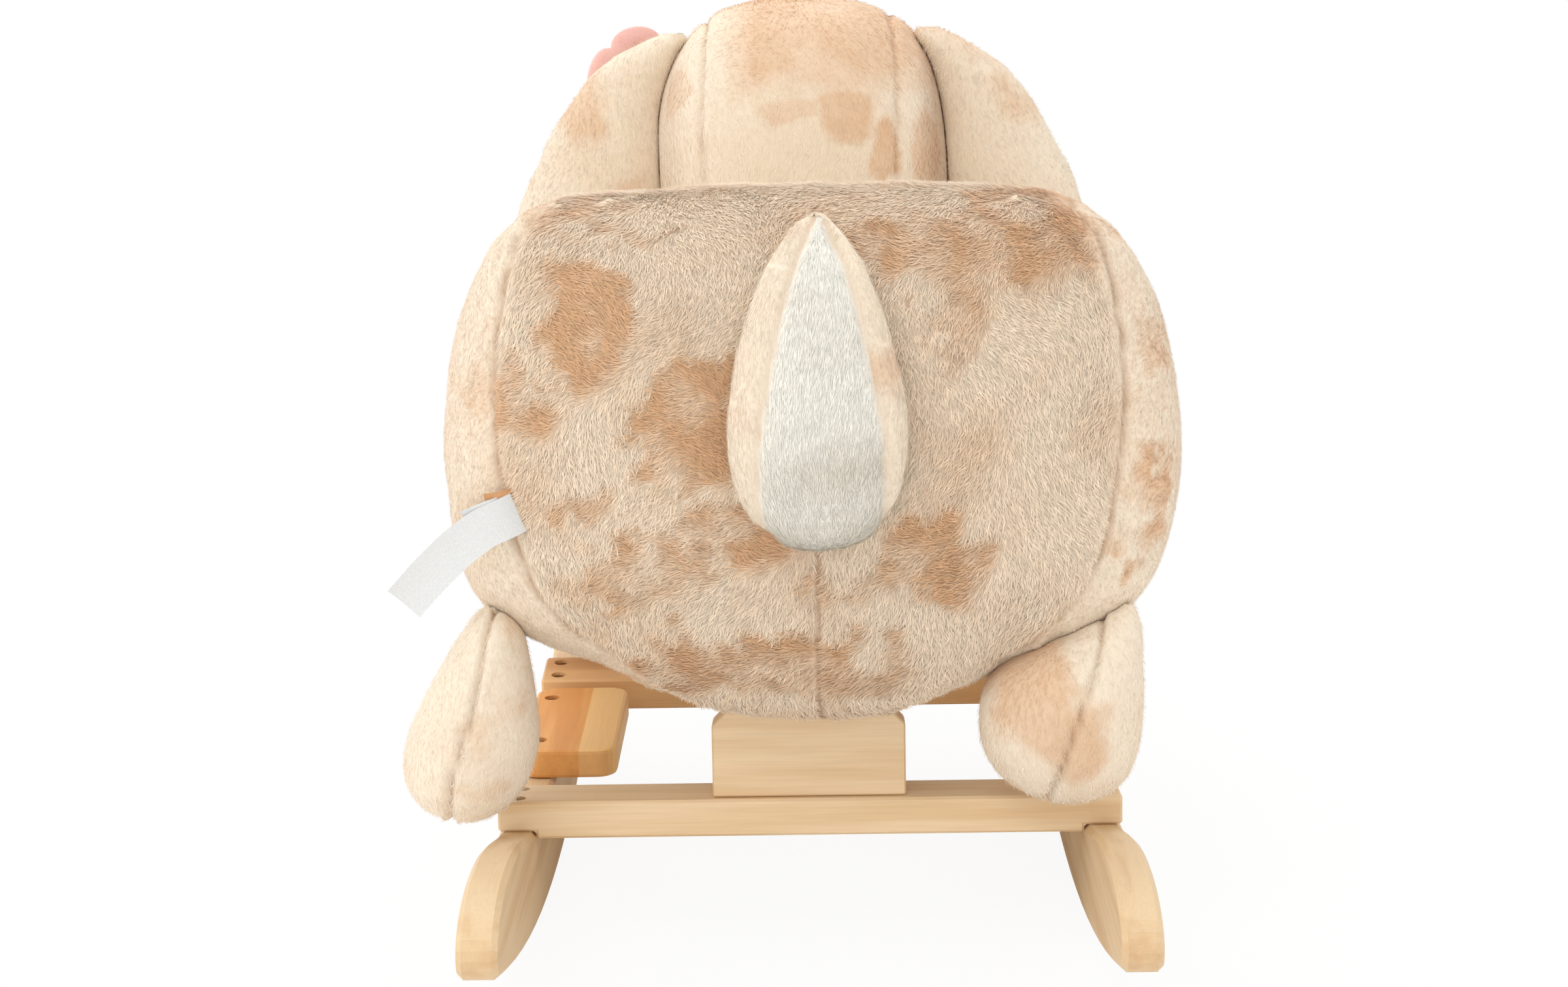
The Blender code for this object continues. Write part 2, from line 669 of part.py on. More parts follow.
def make_body(parts):
    """Rump with backrest, seat, chest and the two side bolsters."""
    plush = (PLUSH, 0.95, 0.0)
    pieces = {}
    powers = (RUMP_UPPER_POWERS, RUMP_LOWER_POWERS)
    rump_up, rump_down = RUMP_TOP - RUMP_MIDDLE, RUMP_MIDDLE - RUMP_BOTTOM
    sections = []
    for share, size in ((1.0, RUMP_FACE_SHARE), (0.9, 0.5 + RUMP_FACE_SHARE / 2),
                        (0.5, 0.985), (0.0, 1.0)):
        sections.append((RUMP_WIDEST_Y + (SEAT_BACK_Y - RUMP_WIDEST_Y) * share, size))
    for share in (0.25, 0.45, 0.62, 0.76, 0.87, 0.95, 0.99):
        sections.append((RUMP_WIDEST_Y + (RUMP_REAR_Y - RUMP_WIDEST_Y) * share,
                         swell(share, 2.3)))
    rings = [body_ring(y, RUMP_WIDTH / 2 * k, RUMP_MIDDLE + rump_up * k,
                       RUMP_MIDDLE - rump_down * k, RUMP_MIDDLE, powers)
             for y, k in sections]
    pieces["rump_cushion"] = loft("rump_cushion", rings, parts, plush)

    powers = ((4.5, 4.5), (2.3, 2.3))
    rear, front = SEAT_BACK_Y - GAP, SEAT_FRONT_Y
    rings = [body_ring(rear + (front - rear) * i / 4, BELLY_WIDTH / 2, BELLY_TOP,
                       BELLY_BOTTOM, BELLY_MIDDLE, powers, SEAT_HEIGHT) for i in range(5)]
    pieces["seat_cushion"] = loft("seat_cushion", rings, parts, plush)

    rings = []
    start = SEAT_FRONT_Y - GAP
    for share in (0.0, 0.2, 0.4, 0.58, 0.72, 0.84, 0.93, 0.985):
        k = swell(share, 2.4)
        blend = min(1.0, share / 0.4)
        width = BELLY_WIDTH + (CHEST_WIDTH - BELLY_WIDTH) * blend
        rings.append(body_ring(start + (CHEST_FRONT_Y - start) * share, width / 2 * k,
                               BELLY_MIDDLE + (CHEST_TOP - BELLY_MIDDLE) * k,
                               BELLY_MIDDLE - (BELLY_MIDDLE - BELLY_BOTTOM) * k,
                               BELLY_MIDDLE, powers, CHEST_HEIGHT))
    pieces["chest_cushion"] = loft("chest_cushion", rings, parts, plush)

    for name, side in (("bolster_left", 1), ("bolster_right", -1)):
        rings = []
        for i in range(6):
            share = i / 5
            top = BOLSTER_HEIGHT_REAR + (BOLSTER_HEIGHT_FRONT - BOLSTER_HEIGHT_REAR) * share
            ring = superellipse(BOLSTER_WIDTH / 2, top - BOLSTER_MIDDLE,
                                BOLSTER_MIDDLE - SEAT_HEIGHT, RING_POINTS,
                                (2.2, 2.2), (3.0, 3.0))
            x = PLUSH_CENTRE_X + side * (BOLSTER_INNER_X + BOLSTER_WIDTH / 2)
            y = rear + (front - rear) * share
            rings.append([Vector((x + a, y, max(BOLSTER_MIDDLE + b, SEAT_HEIGHT + GAP)))
                          for a, b in ring])
        pieces[name] = loft(name, rings, parts, plush)
    return pieces


def hollow_body(pieces, frame, cutters):
    """Cut the stuffing so that the boards, uprights and handle pass through it."""
    seat = frame["seat_board"]
    half = BOARD_THICKNESS / 2 + GAP
    side = SEAT_BOARD_WIDTH / 2 + GAP
    slot = box_cutter("seat_board_slot",
                      (-side, SEAT_BOARD_FRONT_Y - GAP, seat.location.z - half),
                      (side, SEAT_BOARD_REAR_Y + GAP, seat.location.z + half), cutters)
    for name in ("rump_cushion", "seat_cushion", "chest_cushion"):
        cut(pieces[name], slot)
    for name, holder_names, width, top, y in (
            ("back_board", ("rump_cushion",), BACK_BOARD_WIDTH, BACK_BOARD_TOP, BACK_BOARD_Y),
            ("neck_board", ("chest_cushion", "head"), NECK_BOARD_WIDTH, NECK_BOARD_TOP,
             NECK_BOARD_Y)):
        low = seat.location.z
        high = top + GAP
        wide = width / 2 + GAP
        reach_x, reach_y = (wide, half) if name == "back_board" else (half, wide)
        pocket = box_cutter(name + "_slot", (-reach_x, y - reach_y, low),
                            (reach_x, y + reach_y, high), cutters)
        for holder in holder_names:
            cut(pieces[holder], pocket)
    for name, holder, side in (("rear_upright", "rump_cushion", 1),
                               ("front_upright", "chest_cushion", -1)):
        upright = frame[name]
        reach = UPRIGHT_WIDTH / 2 + GAP
        deep = UPRIGHT_THICKNESS / 2 + GAP
        pocket = box_cutter(name + "_slot", (-reach, -deep, 0),
                            (reach, deep, UPRIGHT_HEIGHT + BOARD_THICKNESS / 2), cutters)
        pocket.matrix_world = upright.matrix_world
        cut(pieces[holder], pocket)
    bore = cylinder("handle_bore", HANDLE_DIAMETER / 2 + GAP, HANDLE_LENGTH, cutters)
    as_guide(bore)
    bore.matrix_world = frame["handle_bar"].matrix_world
    cut(pieces["head"], bore)
    cut(frame["neck_board"], bore)


def make_head(parts, pieces):
    """Head, muzzle, nose and eyes."""
    plush = (PLUSH, 0.95, 0.0)
    base = CHEST_HEIGHT + GAP
    sections = []
    for share in (1.0, 0.75, 0.45, 0.2):
        size = HEAD_BASE_SHARE + (1 - HEAD_BASE_SHARE) * swell(share, 2.0)
        sections.append((HEAD_WIDEST_Z + (base - HEAD_WIDEST_Z) * share, size))
    for share in (0.0, 0.22, 0.42, 0.58, 0.72, 0.83, 0.91, 0.96, 0.99):
        sections.append((HEAD_WIDEST_Z + (HEAD_TOP - HEAD_WIDEST_Z) * share, swell(share, 2.9)))
    rings = []
    for z, k in sections:
        ring = superellipse(HEAD_WIDTH / 2 * k, HEAD_DEPTH / 2 * k, HEAD_DEPTH / 2 * k,
                            RING_POINTS, (2.4, 2.4), (2.2, 2.2))
        rings.append([Vector((x, HEAD_CENTRE_Y + y, z)) for x, y in ring])
    head = loft("head", rings, parts, plush)
    pieces["head"] = head


def ellipsoid(name, centre, size, group, finish, segments=24, rings=14):
    """A round stuffed form of the given overall size."""
    bm = bmesh.new()
    bmesh.ops.create_uvsphere(bm, u_segments=segments, v_segments=rings, radius=0.5)
    bmesh.ops.scale(bm, vec=size, verts=bm.verts)
    item = add_object(name, bm, group, finish)
    item.location = centre
    return smooth(item)


def shell_cutter(item, gap, cutters):
    """A copy of a rounded piece, grown by the gap, that cuts a seat for the next piece."""
    points_mesh = item.data.copy()
    points_mesh.materials.clear()
    cutter = bpy.data.objects.new(item.name + "_seat", points_mesh)
    cutters.objects.link(cutter)
    cutter.matrix_world = item.matrix_world
    bm = bmesh.new()
    bm.from_mesh(points_mesh)
    bmesh.ops.recalc_face_normals(bm, faces=bm.faces)
    shifts = [v.normal.copy() for v in bm.verts]
    for vert, normal in zip(bm.verts, shifts):
        vert.co += normal * gap
    bm.to_mesh(points_mesh)
    bm.free()
    return as_guide(cutter)


def make_face(parts, cutters, pieces):
    """Muzzle sewn on the head, nose on the muzzle, eyes set into the head."""
    bpy.context.view_layer.update()
    head_seat = shell_cutter(pieces["head"], GAP, cutters)
    muzzle = ellipsoid("muzzle", MUZZLE_CENTRE, MUZZLE_SIZE, parts, (PLUSH_LIGHT, 0.95, 0.0))
    bpy.context.view_layer.update()
    muzzle_seat = shell_cutter(muzzle, GAP, cutters)
    cut(muzzle, head_seat)
    pieces["muzzle"] = muzzle

    front = MUZZLE_CENTRE.y - MUZZLE_SIZE.y / 2
    nose = ellipsoid("nose", Vector((0, front + NOSE_SIZE.y, NOSE_HEIGHT)), NOSE_SIZE, parts,
                     (NOSE_BROWN, 0.5, 0.0), 12, 8)
    bpy.context.view_layer.update()
    nose.location.y = front
    seat_on(nose, muzzle, Vector((0, 1, 0)), -NOSE_SIZE.y * 0.45)
    cut(nose, muzzle_seat)
    cut(nose, head_seat)
    pieces["nose"] = nose
    for name, side in (("eye_left", 1), ("eye_right", -1)):
        eye = ellipsoid(name, Vector((side * EYE_SPREAD / 2, CHEST_FRONT_Y - HEAD_DEPTH / 2,
                                      EYE_HEIGHT)),
                        Vector((EYE_DIAMETER, 2 * EYE_DEPTH, EYE_DIAMETER)), parts,
                        (BLACK, 0.1, 0.0), 12, 8)
        bpy.context.view_layer.update()
        seat_on(eye, pieces["head"], Vector((0, 1, 0)), -EYE_DEPTH)
        cut(eye, head_seat)
        pieces[name] = eye


def ear_line(side):
    """Centre line of an ear: out from the head's side, then down, with its sizes."""
    line, widths, thicknesses = [], [], []
    root = EAR_ROOT_WIDTH / 2
    shares = [-0.06, -0.045, -0.02, 0.0, 0.1, 0.22, 0.36, 0.5, 0.64, 0.76, 0.86, 0.93, 0.98]
    for share in shares:
        drop = EAR_LENGTH * share
        flare = EAR_FLARE * math.sin(math.pi / 2 * min(1.0, max(0.0, share) / 0.6))
        line.append(Vector((side * flare, 0, -drop)))
        if share <= 0.0:
            cap = math.sqrt(max(0.02, 1 - (drop / root) ** 2))
            widths.append(root * cap)
            thicknesses.append(EAR_THICKNESS / 2 * 0.8 * cap)
        else:
            grown = math.sin(math.pi / 2 * min(1.0, share / 0.62)) ** 1.3
            end = swell(max(0.0, share - 0.62) / 0.38, 2.2)
            widths.append((root + (EAR_WIDTH / 2 - root) * grown) * end)
            thicknesses.append(EAR_THICKNESS / 2 * (0.8 + 0.2 * grown) * max(end, 0.25))
    return line, widths, thicknesses


def make_petals(parts):
    """A padded fabric flower: one lobed disc, thick in the middle and closed at its rim."""
    bm = bmesh.new()
    count = PETAL_COUNT * 8
    rings = []
    for share, side in ((0.3, 1), (0.62, 1), (0.88, 1), (1.0, 0), (0.88, -1), (0.62, -1),
                        (0.3, -1)):
        ring = []
        for i in range(count):
            angle = 2 * math.pi * i / count
            lobe = abs(math.cos(PETAL_COUNT / 2 * (angle - FLOWER_TURN))) ** 0.7
            reach = FLOWER_DIAMETER / 2 * share * (1 - PETAL_NOTCH * share * (1 - lobe))
            rise = PETAL_THICKNESS / 2 * side * math.sqrt(1.0 - 0.9 * share ** 2)
            ring.append(bm.verts.new((reach * math.sin(angle), rise, reach * math.cos(angle))))
        rings.append(ring)
    for before, after in zip(rings, rings[1:]):
        for i in range(count):
            j = (i + 1) % count
            bm.faces.new((before[i], before[j], after[j], after[i]))
    for ring, side in ((rings[0], 1), (rings[-1], -1)):
        hub = bm.verts.new((0, PETAL_THICKNESS / 2 * side, 0))
        for i in range(count):
            bm.faces.new((hub, ring[i], ring[(i + 1) % count]))
    return smooth(add_object("flower_petals", bm, parts, (PINK, 0.9, 0.0)))


def make_ears(parts, pieces):
    """Lop ears that hang beside the head, and the fabric flower on the left one."""
    for name, side in (("ear_left", 1), ("ear_right", -1)):
        line, widths, thicknesses = ear_line(side)
        ear = leaf(name, line, widths, thicknesses, Vector((0, 1, 0)), 2.2, parts,
                   (PLUSH, 0.95, 0.0))
        ear.location = (side * (EAR_ROOT_X + EAR_WIDTH), EAR_PLANE_Y, EAR_ROOT_Z)
        seat_on(ear, pieces["head"], Vector((-side, 0, 0)))
        pieces[name] = ear

    flower = make_petals(parts)
    flower.rotation_euler.z = FLOWER_LEAN
    flower.location = (FLOWER_X, EAR_PLANE_Y - 2 * EAR_THICKNESS, FLOWER_Z)
    seat_on(flower, pieces["ear_left"], Vector((0, 1, 0)))
    flower.parent = pieces["ear_left"]
    flower.matrix_parent_inverse = pieces["ear_left"].matrix_world.inverted()
    pieces["flower_petals"] = flower
    centre = ellipsoid("flower_centre", flower.location.copy(),
                       Vector((FLOWER_CENTRE_DIAMETER, PETAL_THICKNESS * 1.2,
                               FLOWER_CENTRE_DIAMETER)), parts, (PLUSH_LIGHT, 0.9, 0.0), 12, 8)
    centre.location.y -= EAR_THICKNESS
    seat_on(centre, flower, Vector((0, 1, 0)))
    centre.parent = pieces["ear_left"]
    centre.matrix_parent_inverse = pieces["ear_left"].matrix_world.inverted()
    pieces["flower_centre"] = centre


def tail_half_width(share, below):
    """Half width of the drop-shaped tail at a share of its height above its root."""
    if share < TAIL_WIDEST_SHARE:
        return TAIL_WIDTH / 2 * swell((TAIL_WIDEST_SHARE - share) / (TAIL_WIDEST_SHARE + below),
                                      2.4)
    return TAIL_WIDTH / 2 * swell((share - TAIL_WIDEST_SHARE) / (1 - TAIL_WIDEST_SHARE), 1.7)


def make_tail(parts, pieces):
    """Leaf-shaped tail, sewn at its round root and curving up along the backrest."""
    line, widths, thicknesses = [], [], []
    root = TAIL_ROOT_RADIUS
    below = root / TAIL_HEIGHT
    for share in (-0.95, -0.8, -0.5, 0.0):
        line.append(Vector((0, 0, root * share)))
        widths.append(tail_half_width(share * below, below))
        thicknesses.append(root * math.sqrt(1 - share ** 2))
    for share in (0.1, 0.22, 0.36, 0.5, 0.64, 0.76, 0.86, 0.94, 0.99):
        grown = math.sin(math.pi / 2 * min(1.0, share / TAIL_WIDEST_SHARE))
        taper = swell(max(0.0, share - TAIL_WIDEST_SHARE) / (1 - TAIL_WIDEST_SHARE), 1.5)
        line.append(Vector((0, (TAIL_THICKNESS / 2 - root) * grown - TAIL_BEND * share ** 4,
                            TAIL_HEIGHT * share)))
        widths.append(tail_half_width(share, below))
        thicknesses.append((root + (TAIL_THICKNESS / 2 - root) * grown) * max(taper, 0.12))
    tail = leaf("tail", line, thicknesses, widths, Vector((1, 0, 0)), 2.0, parts,
                (PLUSH_LIGHT, 0.95, 0.0))
    tail.location = (PLUSH_CENTRE_X, RUMP_REAR_Y + TAIL_HEIGHT, TAIL_ROOT_Z)
    seat_on(tail, pieces["rump_cushion"], Vector((0, -1, 0)))
    pieces["tail"] = tail


def make_leg(name, place, splay, broad_across, length, carrier, parts):
    """A pear-shaped stuffed leg; its origin is the centre of its round root."""
    root = LEG_ROOT_RADIUS
    rings = []
    for turn in (6, 18, 32, 46, 60, 75):
        angle = math.radians(turn)
        rings.append((-root * math.cos(angle), root * math.sin(angle), 0.0))
    belly = length * LEG_BELLY_SHARE
    for share in (0.0, 0.25, 0.5, 0.75, 1.0):
        rings.append((belly * share, root, math.sin(math.pi / 2 * share) ** 2))
    for share in (0.35, 0.6, 0.8, 0.92, 0.98):
        rings.append((belly + (length - belly) * share, 0.0, swell(share, 2.1)))
    sections = []
    for depth, start, grown in rings:
        if depth <= belly:
            narrow = start + (LEG_THICKNESS / 2 - root) * grown
            broad = start + (LEG_BREADTH / 2 - root) * grown
        else:
            narrow = LEG_THICKNESS / 2 * grown
            broad = LEG_BREADTH / 2 * grown
        half_x, half_y = (broad, narrow) if broad_across else (narrow, broad)
        ring = superellipse(half_x, half_y, half_y, LIMB_POINTS, ROUND, ROUND)
        sections.append([Vector((x, y, -depth)) for x, y in ring])
    leg = loft(name, sections, parts, (PLUSH, 0.95, 0.0))
    leg.rotation_euler.y = -splay
    leg.location = place
    seat_on(leg, carrier, Vector((0, 0, 1)), LEG_GAP)
    return leg


def make_legs(parts, pieces):
    """Four hanging legs, each touching the body with its round root."""
    rump, chest = pieces["rump_cushion"], pieces["chest_cushion"]
    low = BAR_HEIGHT
    pieces["rear_leg_left"] = make_leg(
        "rear_leg_left", Vector((REAR_LEG_LEFT_X, REAR_LEG_LEFT_Y, low)),
        REAR_LEG_LEFT_SPLAY, False, REAR_LEG_LEFT_LENGTH, rump, parts)
    pieces["rear_leg_right"] = make_leg(
        "rear_leg_right", Vector((-REAR_LEG_RIGHT_X, REAR_LEG_RIGHT_Y, low)),
        REAR_LEG_RIGHT_TUCK, True, REAR_LEG_RIGHT_LENGTH, rump, parts)
    for name, side in (("front_leg_left", 1), ("front_leg_right", -1)):
        pieces[name] = make_leg(name, Vector((side * FRONT_LEG_X, FRONT_LEG_Y, low)),
                                side * FRONT_LEG_SPLAY, False, FRONT_LEG_LENGTH, chest, parts)


def make_ribbon(name, length, width, colour, parts):
    """A thin sewn-in ribbon that starts at the origin, runs along X and bows a little."""
    bm = bmesh.new()
    steps = 6
    half = LABEL_THICKNESS / 2
    rows = []
    for i in range(steps + 1):
        share = i / steps
        bow = LABEL_BOW * math.sin(math.pi * share) * length / LABEL_LENGTH
        rows.append([bm.verts.new((length * share, y, z * width / 2 + bow))
                     for y, z in ((half, 1), (-half, 1), (-half, -1), (half, -1))])
    for before, after in zip(rows, rows[1:]):
        for i in range(4):
            j = (i + 1) % 4
            bm.faces.new((before[i], before[j], after[j], after[i]))
    bm.faces.new(rows[0])
    bm.faces.new(rows[-1])
    return add_object(name, bm, parts, (colour, 0.5, 0.0))


def make_labels(parts, pieces):
    """Bare ribbon labels in the left seam of the rump, one on the other."""
    carrier = pieces["rump_cushion"]
    for name, length, width, lift, colour in (
            ("seam_tag", TAG_LENGTH, TAG_WIDTH, TAG_LIFT, TAN),
            ("care_label_short", LABEL_SHORT_LENGTH, LABEL_WIDTH, SHORT_LABEL_LIFT, WHITE),
            ("care_label_long", LABEL_LENGTH, LABEL_WIDTH, 0.0, WHITE)):
        label = make_ribbon(name, length, width, colour, parts)
        label.rotation_euler.y = LABEL_DROP
        label.location = (PLUSH_CENTRE_X + LABEL_X, RUMP_REAR_Y + LABEL_LENGTH, LABEL_Z + lift)
        seat_on(label, carrier, Vector((0, -1, 0)))
        carrier = label
        pieces[name] = label


def shift_to_origin(parts, cutters):
    """Move everything so that the frame's origin is under the middle of the whole toy."""
    for group in (parts, cutters):
        for item in group.objects:
            if item.parent is None:
                item.matrix_world = Matrix.Translation((-ORIGIN_X, 0, 0)) @ item.matrix_world


def build():
    clear_scene()
    parts = make_collection("plush_rocking_rabbit")
    cutters = make_collection("cutters")
    frame = make_base(parts)
    make_uprights(parts, frame)
    make_inner_frame(parts, frame)
    bpy.context.view_layer.update()
    make_screws(parts, cutters, frame)
    body = make_body(parts)
    make_head(parts, body)
    make_face(parts, cutters, body)
    make_ears(parts, body)
    make_tail(parts, body)
    make_legs(parts, body)
    make_labels(parts, body)
    bpy.context.view_layer.update()
    hollow_body(body, frame, cutters)
    bpy.context.view_layer.update()
    shift_to_origin(parts, cutters)
    bpy.context.view_layer.update()


build()
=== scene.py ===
"""Looks of a plush rocking rabbit on a wooden rocker base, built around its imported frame.

The animal faces -Y, its left side is +X and the floor is Z = 0. Lengths are in metres.
"""
import json
import logging
import math
from dataclasses import dataclass
from enum import Enum
from typing import Iterable, Sequence

import bmesh
import bpy
import numpy as np
from mathutils import Matrix, Vector, noise
from mathutils.bvhtree import BVHTree

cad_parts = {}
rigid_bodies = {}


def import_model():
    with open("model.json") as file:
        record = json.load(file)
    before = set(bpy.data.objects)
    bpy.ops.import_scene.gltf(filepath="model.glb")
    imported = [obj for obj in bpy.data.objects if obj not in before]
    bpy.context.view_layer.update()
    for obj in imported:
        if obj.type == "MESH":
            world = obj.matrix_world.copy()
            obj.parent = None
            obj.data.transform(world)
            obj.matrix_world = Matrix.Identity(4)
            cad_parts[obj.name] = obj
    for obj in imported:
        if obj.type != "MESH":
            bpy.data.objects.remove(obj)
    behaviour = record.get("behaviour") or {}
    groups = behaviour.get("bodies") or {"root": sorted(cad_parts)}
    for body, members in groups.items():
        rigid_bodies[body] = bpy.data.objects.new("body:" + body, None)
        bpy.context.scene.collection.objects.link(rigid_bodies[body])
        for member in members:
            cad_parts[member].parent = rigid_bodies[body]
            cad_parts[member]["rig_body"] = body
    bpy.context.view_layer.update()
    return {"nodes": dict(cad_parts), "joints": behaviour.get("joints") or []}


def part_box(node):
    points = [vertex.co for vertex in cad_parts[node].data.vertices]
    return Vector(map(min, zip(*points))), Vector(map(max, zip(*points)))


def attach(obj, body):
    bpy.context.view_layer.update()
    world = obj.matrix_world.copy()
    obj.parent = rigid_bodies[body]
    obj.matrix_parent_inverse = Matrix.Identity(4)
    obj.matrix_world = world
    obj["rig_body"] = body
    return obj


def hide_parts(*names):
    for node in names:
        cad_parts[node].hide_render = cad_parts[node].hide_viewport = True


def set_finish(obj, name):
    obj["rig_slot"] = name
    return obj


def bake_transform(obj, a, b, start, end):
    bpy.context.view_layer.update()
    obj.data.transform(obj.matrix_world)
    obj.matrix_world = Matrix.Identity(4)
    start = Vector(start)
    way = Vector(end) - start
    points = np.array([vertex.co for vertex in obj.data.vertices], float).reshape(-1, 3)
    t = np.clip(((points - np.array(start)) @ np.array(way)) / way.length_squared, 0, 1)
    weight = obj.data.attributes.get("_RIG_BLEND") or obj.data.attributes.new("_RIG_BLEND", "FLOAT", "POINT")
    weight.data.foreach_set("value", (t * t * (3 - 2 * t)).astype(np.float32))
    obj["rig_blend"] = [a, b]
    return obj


LOG = logging.getLogger("plush_rocking_rabbit")
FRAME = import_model()

Colour = tuple[float, float, float, float]
Profile = Sequence[tuple[float, float]]
Socket = bpy.types.NodeSocket
Input = bpy.types.NodeSocket | float | Sequence[float]

# The middle of the base across X, and that of the stuffed body beside it
SHIFT_X = sum(corner[0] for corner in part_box("seat_board")) / 2
PLUSH_X = SHIFT_X - 0.003
ROOT = "body"
# Painted shade: where crease is set (seams, folds, beside the ears, pressed parts) the plush is darkened
# towards this warm tint, by this strength
CREASE_SHADE_TINT = (0.50, 0.34, 0.22)
CREASE_SHADE_STRENGTH = 0.8
PRESSED_GAP = 0.0006


def hinge(body: str) -> Vector:
    """The place of the hinge that carries a body of the frame."""
    return next(Vector(joint["pos_m"]) for joint in FRAME["joints"] if joint["child"] == body)


class Side(Enum):
    """The two sides of the animal, by the sign of X."""

    LEFT = 1
    RIGHT = -1

    @property
    def word(self) -> str:
        """The side's name, as the frame's nodes write it."""
        return self.name.lower()


class Grain(Enum):
    """The axis that a board's grain runs along."""

    X = 0
    Y = 1
    Z = 2


def srgb(red: float, green: float, blue: float) -> Colour:
    """Turn a display colour into a linear one.

    Args:
        red, green, blue: Display values from 0 to 255.

    Returns:
        The linear colour with full alpha.
    """
    def linear(value: float) -> float:
        """One channel, from 0 to 255, as linear light."""
        share = value / 255.0
        return share / 12.92 if share <= 0.04045 else ((share + 0.055) / 1.055) ** 2.4

    return (linear(red), linear(green), linear(blue), 1.0)


class Graph:
    """A short way to add and link nodes in a shader or geometry tree."""

    def __init__(self, tree: bpy.types.NodeTree) -> None:
        """Hold the tree that nodes are added to."""
        self.tree = tree

    def add(self, kind: str, inputs: dict | None = None, **settings) -> bpy.types.Node:
        """Add a node.

        Args:
            kind: The node's type name.
            inputs: Values or output sockets by input name or index.
            settings: Properties to set on the node.

        Returns:
            The new node.
        """
        node = self.tree.nodes.new(kind)
        for name, value in settings.items():
            setattr(node, name, value)
        self.fill(node, inputs or {})
        return node

    def fill(self, node: bpy.types.Node, inputs: dict[str | int, Input]) -> None:
        """Set a node's inputs, by name or index, to values or to other nodes' sockets.

        Args:
            node: The node.
            inputs: Values or sockets, by the input's name or index.
        """
        for key, value in inputs.items():
            socket = node.inputs[key]
            if isinstance(value, Socket):
                self.tree.links.new(value, socket)
            else:
                socket.default_value = value

    def math(self, operation: str, first: Input, second: Input = 0.5,
             clamp: bool = False) -> Socket:
        """Add a Math node and return its output socket.

        Args:
            operation: What the node works out.
            first: The first value or socket.
            second: The second value or socket.
            clamp: Whether the result is held between 0 and 1.

        Returns:
            The result.
        """
        node = self.add("ShaderNodeMath", {0: first, 1: second}, operation=operation,
                        use_clamp=clamp)
        return node.outputs[0]

    def vector_math(self, operation: str, inputs: dict[str | int, Input]) -> bpy.types.Node:
        """Add a Vector Math node."""
        return self.add("ShaderNodeVectorMath", inputs, operation=operation)

    def scaled(self, vector: Input, factor: Input) -> Socket:
        """Multiply a colour or a vector by a number."""
        return self.vector_math("SCALE", {0: vector, "Scale": factor}).outputs[0]

    def mix(self, share: Input, first: Input, second: Input) -> Socket:
        """Mix two colours and return the output socket."""
        node = self.add("ShaderNodeMix", {0: share, 6: first, 7: second}, data_type="RGBA")
        return node.outputs[2]

    def noise(self, vector: Socket, scale: float, detail: float = 2.0,
              rough: float = 0.5) -> Socket:
        """Add a Noise Texture and return its value socket.

        Args:
            vector: The place.
            scale: The texture's scale.
            detail: Its detail.
            rough: Its roughness.

        Returns:
            The texture's value.
        """
        node = self.add("ShaderNodeTexNoise", {"Vector": vector, "Scale": scale,
                                               "Detail": detail, "Roughness": rough})
        return node.outputs[0]

    def ramp(self, value: Socket, low: float, high: float) -> Socket:
        """Spread the span from low to high over 0 to 1, eased at both ends.

        Args:
            value: The value.
            low: What becomes 0.
            high: What becomes 1.

        Returns:
            The eased value.
        """
        node = self.add("ShaderNodeMapRange", {"Value": value, "From Min": low,
                                               "From Max": high},
                        interpolation_type="SMOOTHSTEP")
        return node.outputs[0]

    def span(self, value: Socket, low: float, high: float, start: float = 0.0,
             end: float = 1.0) -> Socket:
        """Turn the values from start to end into those from low to high.

        Args:
            value: The value.
            low: What the start becomes.
            high: What the end becomes.
            start: Where the value's span starts.
            end: Where the value's span ends.

        Returns:
            The new value.
        """
        node = self.add("ShaderNodeMapRange", {"Value": value, "From Min": start,
                                               "From Max": end, "To Min": low,
                                               "To Max": high})
        return node.outputs[0]

    def attribute(self, name: str) -> Socket:
        """Read a number that the mesh stores at each point."""
        return self.add("ShaderNodeAttribute", attribute_name=name).outputs["Fac"]

    def stretched(self, place: Socket, scale: Sequence[float]) -> Socket:
        """Scale each axis of a place, which draws out the pattern on it."""
        return self.add("ShaderNodeMapping", {"Vector": place, "Scale": scale}).outputs[0]

    def bump(self, height: Socket, strength: float, distance: float) -> Socket:
        """Raise the surface by a pattern and return its normal.

        Args:
            height: The pattern.
            strength: How strongly it shows.
            distance: How high it stands.

        Returns:
            The normal.
        """
        node = self.add("ShaderNodeBump", {"Strength": strength, "Distance": distance,
                                           "Height": height})
        return node.outputs[0]


def new_material(name: str) -> tuple[bpy.types.Material, Graph, bpy.types.Node]:
    """Start a node material.

    Args:
        name: The material's name.

    Returns:
        The material, its graph and its Principled shader.
    """
    material = bpy.data.materials.new(name)
    material.use_nodes = True
    graph = Graph(material.node_tree)
    return material, graph, material.node_tree.nodes["Principled BSDF"]


